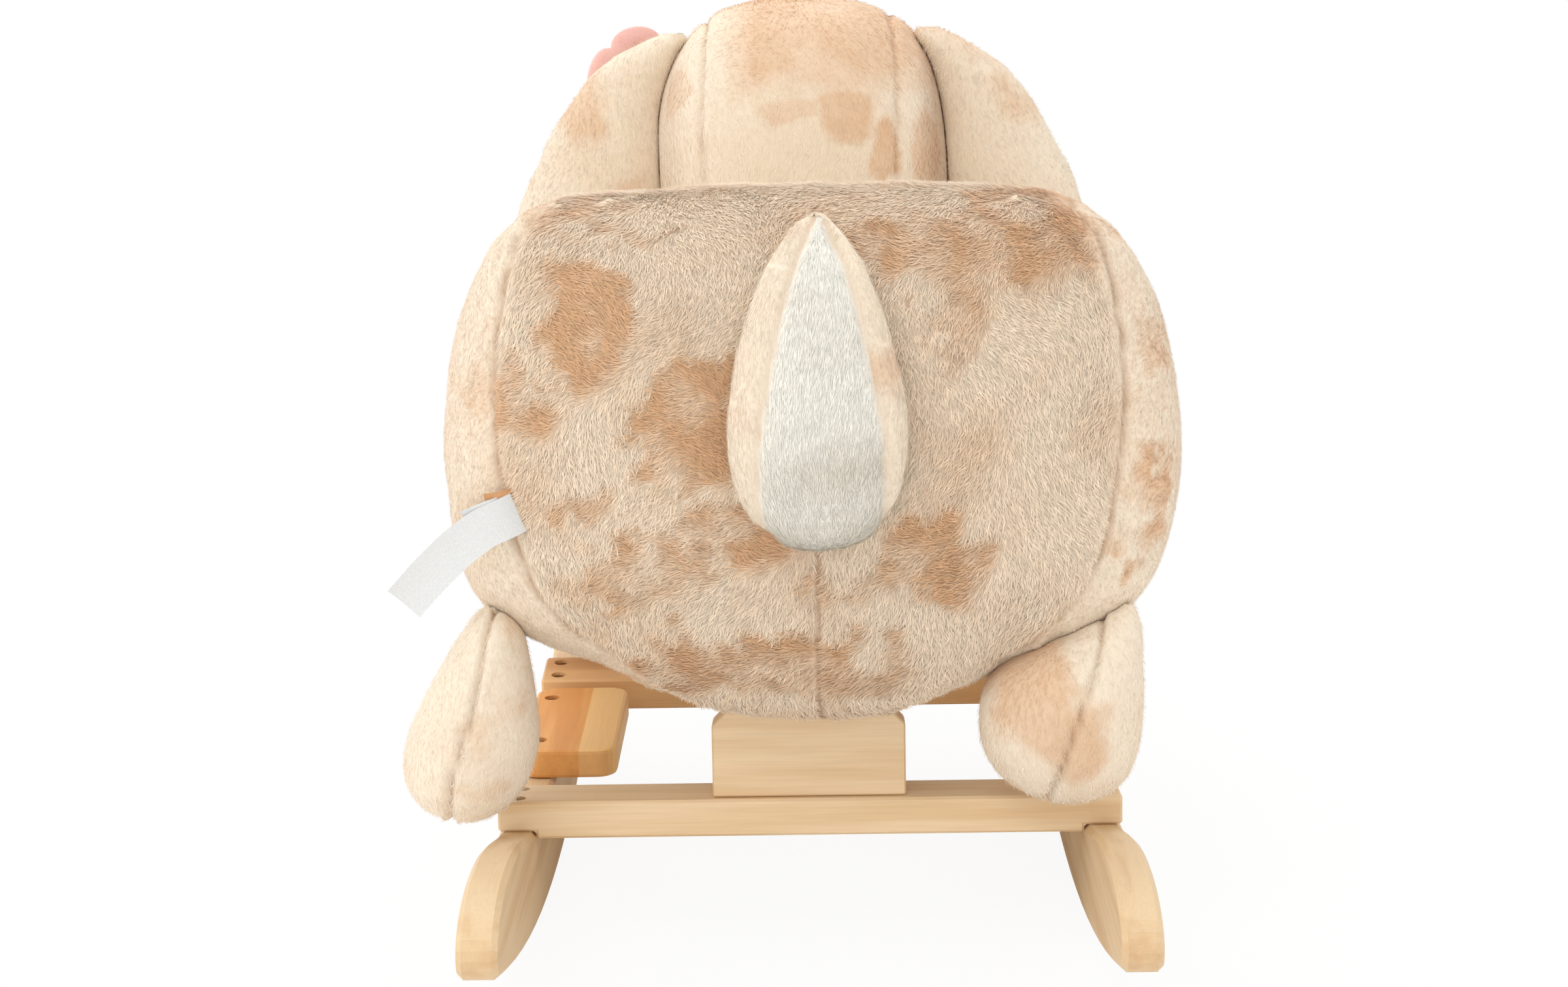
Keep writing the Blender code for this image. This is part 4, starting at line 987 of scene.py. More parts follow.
@dataclass
class Rump:
    """The big stuffed rump that is also the seat's backrest."""

    middle: float = 0.240
    widest_y: float = 0.115
    rear_y: float = 0.184
    front_y: float = 0.0705
    outline: Profile = ((0.0, 0.3605), (0.055, 0.3606), (0.100, 0.3590), (0.124, 0.3535),
                        (0.142, 0.3405), (0.154, 0.3225), (0.163, 0.2990), (0.170, 0.2650),
                        (0.1725, 0.2350), (0.170, 0.2050), (0.163, 0.1780), (0.150, 0.1600),
                        (0.128, 0.1480), (0.100, 0.1360), (0.066, 0.1210), (0.034, 0.1125),
                        (0.0, 0.1098))
    around: int = 300
    groove: float = 0.0026
    coats: int = 3
    coat_density: float = 500000.0
    pile_length: float = 0.0054
    pile_width: float = 0.0005
    wave_depth: float = 0.0022
    pucker_depth: float = 0.0016
    pucker_reach: float = 0.018
    seam_width: float = 0.0017
    mid_seam_width: float = 0.0015
    patches: tuple[Patch, ...] = (
        Patch(0.098, 0.309, (0.020, 0.024)), Patch(0.129, 0.275, (0.010, 0.019), 0.85),
        Patch(0.049, 0.266, (0.023, 0.027)), Patch(0.028, 0.216, (0.024, 0.018), 0.9),
        Patch(0.082, 0.193, (0.033, 0.012), 0.6), Patch(0.018, 0.148, (0.066, 0.018), 0.8),
        Patch(-0.052, 0.195, (0.020, 0.018), 0.85), Patch(-0.020, 0.192, (0.016, 0.008), 0.5),
        Patch(-0.083, 0.341, (0.056, 0.018), 0.7), Patch(-0.067, 0.310, (0.013, 0.017), 0.6),
        Patch(-0.123, 0.345, (0.018, 0.020), 0.65), Patch(0.099, 0.353, (0.042, 0.009), 0.55),
        Patch(-0.153, 0.210, (0.010, 0.031), 0.75), Patch(-0.156, 0.291, (0.009, 0.022), 0.4),
        Patch(0.153, 0.278, (0.009, 0.020), 0.35), Patch(0.099, 0.229, (0.018, 0.007), 0.5))

    def seam_reach(self, height: np.ndarray) -> np.ndarray:
        """Half distance between the two long seams of the back panel, at each height.

        Args:
            height: Heights above the floor.

        Returns:
            One distance for each height.
        """
        return np.interp(height, (0.105, 0.125, 0.142, 0.160, 0.172, 0.187, 0.210, 0.243,
                                  0.275, 0.298, 0.320, 0.342, 0.352, 0.370),
                         (0.030, 0.062, 0.088, 0.108, 0.120, 0.129, 0.136, 0.142,
                          0.1435, 0.142, 0.138, 0.1325, 0.124, 0.104))

    def skin(self, material: bpy.types.Material) -> bpy.types.Object:
        """Build the smooth stuffed form without seams.

        Args:
            material: The finish.

        Returns:
            The smooth form.
        """
        steps = [(self.front_y + (self.widest_y - self.front_y) * (1 - s), k)
                 for s, k in reversed(rounded_steps(30, 5.0))]
        steps += [(self.widest_y + (self.rear_y - self.widest_y) * s, k)
                  for s, k in rounded_steps(96, 2.3)[1:]]
        outline = mirrored_outline(self.outline, self.middle, self.around)
        rings = np.array([np.stack([PLUSH_X + outline[:, 0] * k, np.full(self.around, y),
                                    self.middle + outline[:, 1] * k], axis=1)
                          for y, k in steps])
        return loft("rump", rings, material)

    def brushed(self, points: np.ndarray, behind: np.ndarray) -> tuple[np.ndarray, np.ndarray]:
        """Where the pile is brushed the other way, and the fine folds at those places' edges, which turn the
        pile and get painted shade.

        Args:
            points: Rows of coordinates on the rump.
            behind: How far each point lies on the rear side.

        Returns:
            The strength of the patches and of the folds at each point.
        """
        across, height = points[:, 0] - PLUSH_X, points[:, 2]
        drift = fractal(points, 26.0, 3.0, 4)
        lift = fractal(points + 0.5, 26.0, 9.0, 4)
        fine = fractal(points, 75.0, 5.0, 3)
        weight = np.zeros(len(points))
        for patch in self.patches:
            spot = patch.weight(across + 0.014 * drift + 0.012 * fine,
                                height + 0.013 * lift - 0.012 * fine)
            weight = np.maximum(weight, spot)
        fold = bell(fractal(points, 30.0, 12.0, 3), 0.035)
        fold = fold * np.clip(4.0 * weight * (1.0 - weight), 0.0, 1.0) * behind
        weight = np.clip(weight * (0.92 + 0.9 * fractal(points, 55.0, 6.0, 3))
                         + 0.35 * fractal(points, 20.0, 13.0, 3), 0.0, 1.0)
        return weight * np.clip(behind + 0.2, 0.0, 1.0), fold

    def shape(self, item: bpy.types.Object) -> np.ndarray:
        """Sink the seams, pucker the cloth beside them and store the pile's attributes.

        Args:
            item: The smooth form.

        Returns:
            How far each point lies inside the long pile of the back panel, from 0 to 1.
        """
        points, outward = coordinates(item), normals(item)
        across = points[:, 0] - PLUSH_X
        behind = rise(points[:, 1], 0.09, 0.015)
        side = np.abs(across) - self.seam_reach(points[:, 2])
        centre = across + 0.003
        long_seam, mid_seam = bell(side, self.seam_width) * behind, bell(
            centre, self.mid_seam_width)
        mid_seam = mid_seam * rise(points[:, 1], 0.12, 0.02)
        pucker = fractal(points, 95.0, 1.0, 2) * (bell(side, self.pucker_reach) * behind
                                                  + 0.6 * bell(centre, 0.014))
        waves = fractal(points, 16.0, 2.0, 2) * self.wave_depth
        depth = self.groove * np.clip((outward[:, 1] + 0.1) / 0.5, 0.25, 1.0)
        shift = (waves + pucker * self.pucker_depth - depth * long_seam
                 - depth * 0.55 * mid_seam)
        move_points(item, points + outward * shift[:, None])

        weight, fold = self.brushed(points, behind)
        store(item, "nap", np.clip(weight + 0.12 * (1.0 - behind), 0.0, 1.0))
        # Painted shade in the seams and in the folds at the edges of the brushed patches
        crease = np.maximum(long_seam * (0.7 + 0.6 * pucker), 0.75 * mid_seam)
        store(item, "crease", np.clip(np.maximum(crease, 0.55 * fold), 0.0, 1.0))
        inside = np.clip(-side / 0.008, 0.0, 1.0) * behind
        pile = (0.5 + 0.5 * inside) * (1.0 - 0.7 * np.maximum(long_seam, mid_seam))
        store(item, "pile", pile * (0.35 + 0.65 * behind))
        comb(item, fractal(points, 11.0, 4.0, 2) * 1.1 + weight * 1.9 + 0.6 * fold)
        return inside

    def build(self, palette: Palette) -> bpy.types.Object:
        """Make the rump and its fur, and return the rump.

        Args:
            palette: The materials.

        Returns:
            The rump.
        """
        item = self.skin(palette.plush)
        inside = self.shape(item)
        dress(item, ROOT, "beige_plush", "rump_cushion", fill=0.9)
        for coat in range(self.coats):
            fur = Fur(self.coat_density, self.pile_length, self.pile_width, 0.2,
                      palette.tufts, seed=3 + coat, spread=0.55)
            dress(fur.grow(f"rump_pile_{coat + 1}", item), ROOT, "beige_plush")
        fuzz(item, palette.down, 9, share=0.7 * (1.0 - inside))
        return item


def plain_pile(item: bpy.types.Object, seed: float, patchy: float = 0.8,
               scale: float = 13.0) -> None:
    """Store soft nap patches for a piece of short pile.

    Args:
        item: The piece.
        seed: A shift that makes its patches its own.
        patchy: How strong the patches are.
        scale: Patches to the metre.
    """
    points = coordinates(item)
    cloud = fractal(points, scale, seed, 4)
    store(item, "nap", np.clip((cloud - 0.12) / 0.35, 0.0, 1.0) * patchy)


@dataclass
class SeatBody:
    """The seat, the chest and the two bolsters that make the seat hollow."""

    width: float = 0.310
    middle: float = 0.185
    seat_top: float = 0.235
    rear_y: float = 0.0695
    front_y: float = -0.0798
    chest_front_y: float = -0.234
    chest_width: float = 0.270
    chest_top: float = 0.2578
    around: int = 96
    bolster_middle: float = 0.258
    bolster_inner: float = 0.088
    bolster_width: float = 0.070
    bolster_rear_top: float = 0.300
    bolster_front_top: float = 0.276
    bolster_bottom: float = 0.235
    bolster_flat: float = 0.2358
    bolster_around: int = 64

    def section(self, y: float, half: float, up: float, down: float,
                flat_top: float) -> np.ndarray:
        """One rounded section across Y, levelled at the top.

        Args:
            y: Its place along the body.
            half: Half its width.
            up: Its reach above the middle.
            down: Its reach below the middle.
            flat_top: The height that it is levelled at.

        Returns:
            Rows of coordinates round it.
        """
        ring = superellipse(half, up, down, self.around, 4.5, 2.3)
        return np.stack([PLUSH_X + ring[:, 0], np.full(self.around, y),
                         np.minimum(self.middle + ring[:, 1], flat_top)], axis=1)

    def seat(self, palette: Palette) -> None:
        """Make the seat cushion between the rump and the chest.

        Args:
            palette: The materials.
        """
        rings = []
        for share in np.linspace(0.0, 1.0, 40):
            ends = min(share, 1.0 - share) * (self.rear_y - self.front_y)
            k = 1.0 - 0.012 * math.exp(-ends / 0.004)
            rings.append(self.section(self.rear_y + (self.front_y - self.rear_y) * share,
                                      self.width / 2 * k, 0.062 * k, 0.077 * k,
                                      self.seat_top - 0.0005))
        item = loft("seat", np.array(rings), palette.plush)
        points, outward = coordinates(item), normals(item)
        dip = fractal(points, 14.0, 11.0, 2) * 0.0012
        move_points(item, points + outward * (np.minimum(dip, 0.0005))[:, None])
        plain_pile(item, 12.0)
        dress(item, ROOT, "beige_plush", "seat_cushion", fill=0.9)
        fuzz(item, palette.down, 21)

    def chest(self, palette: Palette) -> None:
        """Make the chest, rounded towards the front.

        Args:
            palette: The materials.
        """
        rings = []
        start = self.front_y - 0.0006
        for share in (0.0, 0.004, 0.02, 0.06, *np.linspace(0.1, 0.9, 26)):
            rings.append(self.chest_ring(start, share))
        for share, _ in rounded_steps(18, 2.4)[9:]:
            if share > 0.9:
                rings.append(self.chest_ring(start, share))
        item = loft("chest", np.array(rings), palette.plush)
        points, outward = coordinates(item), normals(item)
        centre = bell(points[:, 0] - PLUSH_X, 0.003) * (points[:, 1] < -0.15)
        shift = fractal(points, 15.0, 13.0, 2) * 0.0018 - 0.0022 * centre
        move_points(item, points + outward * np.minimum(shift, 0.0012)[:, None])
        plain_pile(item, 14.0)
        dress(item, ROOT, "beige_plush", "chest_cushion", fill=0.9)
        fuzz(item, palette.down, 22)

    def chest_ring(self, start: float, share: float) -> np.ndarray:
        """One section of the chest at a share of its length.

        Args:
            start: Where the chest starts along the body.
            share: The share of the length.

        Returns:
            Rows of coordinates round it.
        """
        k = float(swell(share, 2.4)) * (1.0 - 0.012 * math.exp(-share / 0.03))
        blend = min(1.0, share / 0.4)
        half = (self.width + (self.chest_width - self.width) * blend) / 2 * k
        return self.section(start + (self.chest_front_y - start) * share, half,
                            0.085 * k, 0.077 * k, self.chest_top)

    def bolster(self, side: Side, palette: Palette) -> None:
        """Make one side roll of the seat hollow.

        Args:
            side: Which side it is on.
            palette: The materials.
        """
        rings = []
        middle, width = self.bolster_middle, self.bolster_width
        x = PLUSH_X + side.value * (self.bolster_inner + width / 2)
        length = self.rear_y - self.front_y
        for share in np.linspace(0.0, 1.0, 40):
            ends = min(share, 1.0 - share) * length
            k = 1.0 - 0.05 * math.exp(-ends / 0.004)
            top = (self.bolster_rear_top
                   + (self.bolster_front_top - self.bolster_rear_top) * share)
            ring = superellipse(width / 2 * k, (top - middle) * k,
                                (middle - self.bolster_bottom) * k,
                                self.bolster_around, 2.2, 3.0)
            y = self.rear_y + (self.front_y - self.rear_y) * share
            rings.append(np.stack([x + ring[:, 0], np.full(len(ring), y),
                                   np.maximum(middle + ring[:, 1], self.bolster_flat)],
                                  axis=1))
        item = loft(f"bolster_{side.word}_pad", np.array(rings), palette.plush)
        points, outward = coordinates(item), normals(item)
        shift = np.minimum(fractal(points, 22.0, 15.0 + side.value, 2) * 0.0012, 0.0004)
        move_points(item, points + outward * shift[:, None])
        plain_pile(item, 16.0 + side.value)
        dress(item, ROOT, "beige_plush", f"bolster_{side.word}", fill=0.85)
        fuzz(item, palette.down, 24 + side.value)

    def build(self, palette: Palette) -> None:
        """Make every cushion of the seat.

        Args:
            palette: The materials.
        """
        self.seat(palette)
        self.chest(palette)
        for side in Side:
            self.bolster(side, palette)


@dataclass
class Head:
    """The head with its centre gusset, muzzle, stitched nose and mouth, and eyes."""

    width: float = 0.164
    depth: float = 0.160
    centre_y: float = -0.186
    base: float = 0.2583
    widest: float = 0.335
    top: float = 0.434
    around: int = 200
    gusset: Profile = ((0.26, 0.034), (0.33, 0.052), (0.37, 0.0535), (0.40, 0.0535),
                       (0.418, 0.0530), (0.43, 0.050))
    patches: tuple[Patch, ...] = (
        Patch(-0.0234, 0.376, (0.015, 0.013), 0.75), Patch(0.008, 0.378, (0.015, 0.005), 0.5),
        Patch(-0.045, 0.357, (0.007, 0.013), 0.85),
        Patch(0.068, 0.386, (0.011, 0.009), 0.4), Patch(-0.068, 0.356, (0.009, 0.019), 0.6))

    def brushed(self, points: np.ndarray, behind: np.ndarray) -> np.ndarray:
        """How strongly each point of the head is brushed: the crown, and blots behind.

        Args:
            points: Rows of coordinates on the head.
            behind: How far each point lies on the rear side.

        Returns:
            The strength at each point.
        """
        across, height = points[:, 0] - SHIFT_X, points[:, 2]
        ragged, drift = fractal(points, 40.0, 23.0, 4), fractal(points, 40.0, 26.0, 4)
        weight = np.clip((fractal(points, 12.0, 24.0, 4) - 0.2) / 0.35, 0.0, 0.6)
        weight = weight * (1.0 - behind)
        crown = rise(height + 0.012 * drift, 0.378, 0.028) * fall(across, 0.045, 0.02)
        over = rise(points[:, 1] - self.centre_y, -0.035, 0.03)
        weight = np.maximum(weight, 0.8 * crown * over)
        for patch in self.patches:
            weight = np.maximum(weight, behind * patch.weight(across + 0.007 * ragged,
                                                              height + 0.007 * drift))
        return weight

    def skull(self, palette: Palette) -> bpy.types.Object:
        """Make the stuffed head.

        Args:
            palette: The materials.

        Returns:
            The head.
        """
        rings = []
        for s, k in reversed(rounded_steps(14, 6.0)):
            z = self.widest + (self.base - self.widest) * s
            rings.append(self.ring(z, k * (1 - 0.16 * s ** 2)))
        for s, k in rounded_steps(90, 2.9)[1:]:
            rings.append(self.ring(self.widest + (self.top - self.widest) * s, k))
        item = loft("head_cover", np.array(rings), palette.plush)
        points, outward = coordinates(item), normals(item)
        across, height = points[:, 0] - SHIFT_X, points[:, 2]
        reach = np.interp(height, *zip(*self.gusset))
        seam = np.abs(across - 0.0015) - reach
        wrinkle = fractal(points, 90.0, 21.0, 2) * bell(seam, 0.012)
        shift = (fractal(points, 18.0, 22.0, 2) * 0.0016 + 0.0009 * wrinkle
                 - 0.0022 * bell(seam, 0.0020))
        move_points(item, points + outward * shift[:, None])
        behind = rise(points[:, 1], self.centre_y, 0.01)
        # Painted shadow of the ears on the sides of the head behind them, stronger on the right, and painted
        # shade in the gusset seams, both stored as crease
        painted_ear_shadow = rise(np.abs(across), 0.062, 0.012) * behind
        painted_ear_shadow = painted_ear_shadow * np.where(across < 0.0, 0.8, 0.3)
        store(item, "crease", np.maximum(0.35 * bell(seam, 0.0013), painted_ear_shadow))
        store(item, "nap", self.brushed(points, behind))
        dress(item, ROOT, "beige_plush", "head", fill=0.95)
        fuzz(item, palette.down, 27)
        return item

    def ring(self, z: float, k: float) -> np.ndarray:
        """One section of the head at a height.

        Args:
            z: The height.
            k: How full the section is.

        Returns:
            Rows of coordinates round it.
        """
        flat = superellipse(self.width / 2 * k, self.depth / 2 * k, self.depth / 2 * k,
                            self.around, 2.4, 2.2)
        return level_ring(flat, SHIFT_X, self.centre_y, z)

    def build(self, palette: Palette) -> None:
        """Make the head with its face and ears.

        Args:
            palette: The materials.
        """
        skull = self.skull(palette)
        Face().build(palette, skull)
        Ears().build(palette, skull)


def seat_against(item: bpy.types.Object, other: bpy.types.Object, gap: float = 0.0003,
                 outwards: Vector | None = None) -> None:
    """Press a soft piece flat where it would run into its neighbour.

    Args:
        item: The piece that gives way.
        other: The closed piece that it lies on.
        gap: The clearance that is left.
        outwards: The way that points are pushed, or the nearest way out if not given.
    """
    tree = surface_tree(other)
    for vert in item.data.vertices:
        place, outward, _, _ = tree.find_nearest(vert.co)
        depth = (vert.co - place).dot(outward)
        if depth < gap and outwards is None:
            vert.co = place + outward * gap
        elif depth < gap:
            far = tree.ray_cast(vert.co + outwards, -outwards)[0]
            if far is not None:
                vert.co = far + outwards * gap
    item.data.update()


def ball(name: str, centre: Sequence[float], size: Sequence[float],
         material: bpy.types.Material, segments: int = 48) -> bpy.types.Object:
    """Make a round form of the given overall size.

    Args:
        name: The new piece's name.
        centre: Its middle.
        size: Its whole size along each axis.
        material: The finish.
        segments: How many faces go round it.

    Returns:
        The new piece.
    """
    shell = bmesh.new()
    bmesh.ops.create_uvsphere(shell, u_segments=segments, v_segments=segments // 2,
                              radius=0.5)
    bmesh.ops.rotate(shell, cent=(0, 0, 0), matrix=Matrix.Rotation(math.pi / 2, 3, "X"),
                     verts=shell.verts)
    bmesh.ops.scale(shell, vec=Vector(size), verts=shell.verts)
    bmesh.ops.translate(shell, vec=Vector(centre), verts=shell.verts)
    mesh = bpy.data.meshes.new(name)
    shell.to_mesh(mesh)
    shell.free()
    mesh.materials.append(material)
    mesh.shade_smooth()
    return new_object(name, mesh)


def tube(name: str, path: np.ndarray, radius: float, material: bpy.types.Material,
         sides: int = 8) -> bpy.types.Object:
    """Make a round cord of thread along a path, closed at both ends.

    Args:
        name: The new piece's name.
        path: Rows of coordinates along its middle.
        radius: Half its thickness.
        material: The finish.
        sides: How many faces go round it.

    Returns:
        The new piece.
    """
    rings = []
    for i, place in enumerate(path):
        ahead = Vector(path[min(i + 1, len(path) - 1)] - path[max(i - 1, 0)]).normalized()
        across = ahead.cross(Vector((0, 1, 0))).normalized()
        above = across.cross(ahead)
        taper = radius * (0.45 if i in (0, len(path) - 1) else 1.0)
        rings.append([Vector(place) + taper * (math.cos(a) * across + math.sin(a) * above)
                      for a in np.linspace(0, 2 * math.pi, sides, endpoint=False)])
    return loft(name, np.array([[tuple(p) for p in ring] for ring in rings]), material)


@dataclass
class Face:
    """Muzzle, stitched nose and mouth, and two bead eyes, in a plain generic style."""

    muzzle_centre: tuple[float, float, float] = (SHIFT_X, -0.248, 0.312)
    muzzle_size: tuple[float, float, float] = (0.090, 0.078, 0.068)
    stitch_radius: float = 0.0007
    lip_drop: float = 0.010
    lip_reach: float = 0.017
    lip_bend: float = 0.004

    def muzzle(self, palette: Palette, head: bpy.types.Object) -> bpy.types.Object:
        """Make the cream muzzle with its middle seam.

        Args:
            palette: The materials.
            head: The head, which it is fitted to.

        Returns:
            The muzzle.
        """
        item = ball("muzzle_pad", self.muzzle_centre, self.muzzle_size, palette.cream, 96)
        points, outward = coordinates(item), normals(item)
        middle = bell(points[:, 0] - SHIFT_X, 0.0026)
        cheeks = bell(np.abs(points[:, 0] - SHIFT_X) - 0.018, 0.016) * 0.0012
        low = fall(points[:, 2], self.muzzle_centre[2] + 0.006, 0.02)
        shift = cheeks - 0.0028 * middle * low
        shift = np.minimum(shift + fractal(points, 30.0, 31.0, 2) * 0.0006, 0.0004)
        move_points(item, points + outward * shift[:, None])
        seat_against(item, head, 0.0015, Vector((0.0, -1.0, 0.0)))
        plain_pile(item, 32.0, 0.5)
        dress(item, ROOT, "cream_plush", "muzzle", fill=0.9)
        return item

    def build(self, palette: Palette, head: bpy.types.Object) -> None:
        """Make every piece of the face.

        Args:
            palette: The materials.
            head: The head.
        """
        muzzle = self.muzzle(palette, head)
        nose = ball("nose_stitching", *node_box("nose"), palette.thread, 40)
        seat_against(nose, muzzle)
        dress(nose, ROOT, "nose_thread", "nose")
        for side in Side:
            node = f"eye_{side.word}"
            eye = ball(node + "_bead", *node_box(node), palette.eye, 40)
            seat_against(eye, head, 0.0002)
            dress(eye, ROOT, "eye_plastic", node)
        self.mouth(palette, muzzle)

    def mouth(self, palette: Palette, muzzle: bpy.types.Object) -> None:
        """Stitch the mouth: a short line under the nose and a curve to each side.

        Args:
            palette: The materials.
            muzzle: The muzzle, which the stitches lie on.
        """
        tree = surface_tree(muzzle)
        nose_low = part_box("nose")[0][2]
        for index, side in enumerate((None, Side.LEFT, Side.RIGHT)):
            flat = []
            for t in np.linspace(0.0, 1.0, 14):
                if side is None:
                    flat.append((SHIFT_X, nose_low - 0.001 - self.lip_drop * t))
                else:
                    bend = math.sin(math.pi * t) * self.lip_bend
                    flat.append((SHIFT_X + side.value * self.lip_reach * t,
                                 nose_low - 0.011 - bend - 0.0005 * t))
            path = []
            for x, z in flat:
                hit = tree.ray_cast(Vector((x, -0.4, z)), Vector((0, 1, 0)))[0]
                path.append((hit.x, hit.y - 0.0008, hit.z))
            line = tube(f"mouth_stitch_{index + 1}", np.array(path), self.stitch_radius,
                        palette.thread)
            dress(line, ROOT, "nose_thread")


@dataclass
class Ears:
    """Lop ears, each a flat stuffed leaf on its own hinge, and the fabric flower."""

    heights: Sequence[float] = (0.4172, 0.4130, 0.4050, 0.3935, 0.3780, 0.3630, 0.3330,
                                0.3080, 0.2860, 0.2680, 0.2540, 0.2480)
    inner: Sequence[float] = (0.0650, 0.0630, 0.0680, 0.0725, 0.0755, 0.0765, 0.0765,
                              0.0805, 0.0875, 0.0980, 0.1130, 0.1260)
    outer: Sequence[float] = (0.0780, 0.0880, 0.1035, 0.1190, 0.1310, 0.1405, 0.1570,
                              0.1660, 0.1680, 0.1620, 0.1490, 0.1300)
    thick: float = 0.034
    levels: int = 110
    around: int = 72
    right_slimmer: float = 0.04
    sewn_length: float = 0.018
    flower_reach: float = 0.033
    flower_thick: float = 0.0045
    flower_turn: float = math.radians(3)
    flower_lean: float = math.radians(30)
    flower_place: tuple[float, float] = (0.093, 0.3865)
    petals: int = 5

    def sections(self) -> np.ndarray:
        """Height, inner edge, outer edge and half thickness, from the top to the tip.

        Returns:
            One row for each section.
        """
        rows = smoothed((self.heights, self.inner, self.outer), self.levels, 3)
        half = (rows[2] - rows[1]) / 2
        round_off = np.clip(half / (self.thick * 0.75), 0.0, 1.0)
        rows.append(self.thick / 2 * np.sqrt(1.0 - (1.0 - round_off) ** 2)
                    * np.interp(np.linspace(0.0, 1.0, self.levels), (0.0, 0.5),
                                (0.85, 1.0)))
        return np.stack(rows, axis=1)

    def ear(self, side: Side, palette: Palette, head: bpy.types.Object) -> None:
        """Make one ear: beige outside, with a paler lining towards the front.

        Args:
            side: Which side it is on.
            palette: The materials.
            head: The head, which it is laid against.
        """
        rings = []
        root = hinge(f"ear_{side.word}_body")
        for height, inner, outer, thick in self.sections():
            outer -= self.right_slimmer * (outer - inner) * (side is Side.RIGHT)
            flat = superellipse((outer - inner) / 2, thick, thick, self.around, 2.2, 2.2)
            rings.append(level_ring(flat, SHIFT_X + side.value * (outer + inner) / 2,
                                    root.y, height))
        item = loft(f"ear_{side.word}_cover", np.array(rings), palette.tail)
        points, outward = coordinates(item), normals(item)
        rim = bell(points[:, 1] - root.y, 0.0016)
        shift = (fractal(points, 20.0, 41.0 + side.value, 2) * 0.0013 - 0.0016 * rim
                 + fractal(points, 90.0, 43.0, 2) * 0.0007
                 * bell(points[:, 1] - root.y, 0.008))
        free = points + outward * shift[:, None]
        move_points(item, free)
        seat_against(item, head, PRESSED_GAP)
        # Painted shade where the ear is pressed against the head: the further a point was pushed in, the
        # darker it is painted
        pressed = np.linalg.norm(coordinates(item) - free, axis=1)
        store(item, "crease", np.clip(pressed / 0.003, 0.0, 0.7))
        lining = fall(points[:, 1], root.y - 0.006, 0.002)
        low = fall(points[:, 2], root.z - 0.02, 0.01)
        store(item, "panel", lining * low)
        cloud = fractal(points, 15.0, 45.0 + side.value, 4)
        store(item, "nap", np.clip((cloud - 0.05) / 0.5, 0.0, 0.7))
        sewn = (Vector((root.x, root.y, self.heights[0])),
                Vector((root.x, root.y, self.heights[0] - self.sewn_length)))
        dress(item, f"ear_{side.word}_body", "beige_plush", f"ear_{side.word}", fill=0.7,
              sewn=sewn)
        fuzz(item, palette.tail_tufts, 40 + side.value, sewn=sewn)

    def flower(self, palette: Palette, head: bpy.types.Object) -> None:
        """Make the five petals and the round middle on the left ear.

        Args:
            palette: The materials.
            head: The head, which it is laid against.
        """
        middle = Vector((SHIFT_X + self.flower_place[0], node_box("flower_petals")[0].y,
                         self.flower_place[1]))
        reach, thick = self.flower_reach, self.flower_thick
        lean = np.array(Matrix.Rotation(self.flower_lean, 3, "Z"))
        for index in range(self.petals):
            turn = self.flower_turn + 2 * math.pi * index / self.petals
            petal = ball(f"petal_{index + 1}", (0, 0, 0), (1, 1, 1), palette.petal, 32)
            points = coordinates(petal)
            radial = points[:, 2] + 0.5
            half = reach * 0.62 * (0.55 + 0.45 * radial)
            local_x = points[:, 0] * half * 2
            local_z = reach * (0.06 + 0.94 * radial)
            crease = 0.25 * bell(points[:, 0], 0.10) * (radial < 0.75)
            local_y = points[:, 1] * 2 * thick * (0.95 - crease)
            local_y = np.clip(local_y, -thick, thick)
            x = local_x * math.cos(turn) + local_z * math.sin(turn)
            z = -local_x * math.sin(turn) + local_z * math.cos(turn)
            layer = (index % 2) * 0.0008
            flat = np.stack([x, local_y * 0.8 - layer, z], axis=1)
            move_points(petal, flat @ lean.T + np.array(middle))
            seat_against(petal, head, PRESSED_GAP)
            plain_pile(petal, 50.0 + index, 0.5, 40.0)
            nodes = ("flower_petals",) if index == 0 else ()
            dress(petal, "ear_left_body", "pink_fabric", *nodes, fill=0.5)
        size = node_box("flower_centre")[1]
        front = middle + Vector(lean @ np.array((0.0, -thick - 0.4 * size.x, 0.0)))
        button = ball("flower_button", front, (size.x, size.x, size.z), palette.cream, 36)
        plain_pile(button, 56.0, 0.4, 40.0)
        dress(button, "ear_left_body", "cream_plush", "flower_centre", fill=0.8)

    def build(self, palette: Palette, head: bpy.types.Object) -> None:
        """Make both ears and the flower, laid against the head.

        Args:
            palette: The materials.
            head: The head.
        """
        for side in Side:
            self.ear(side, palette, head)
        self.flower(palette, head)


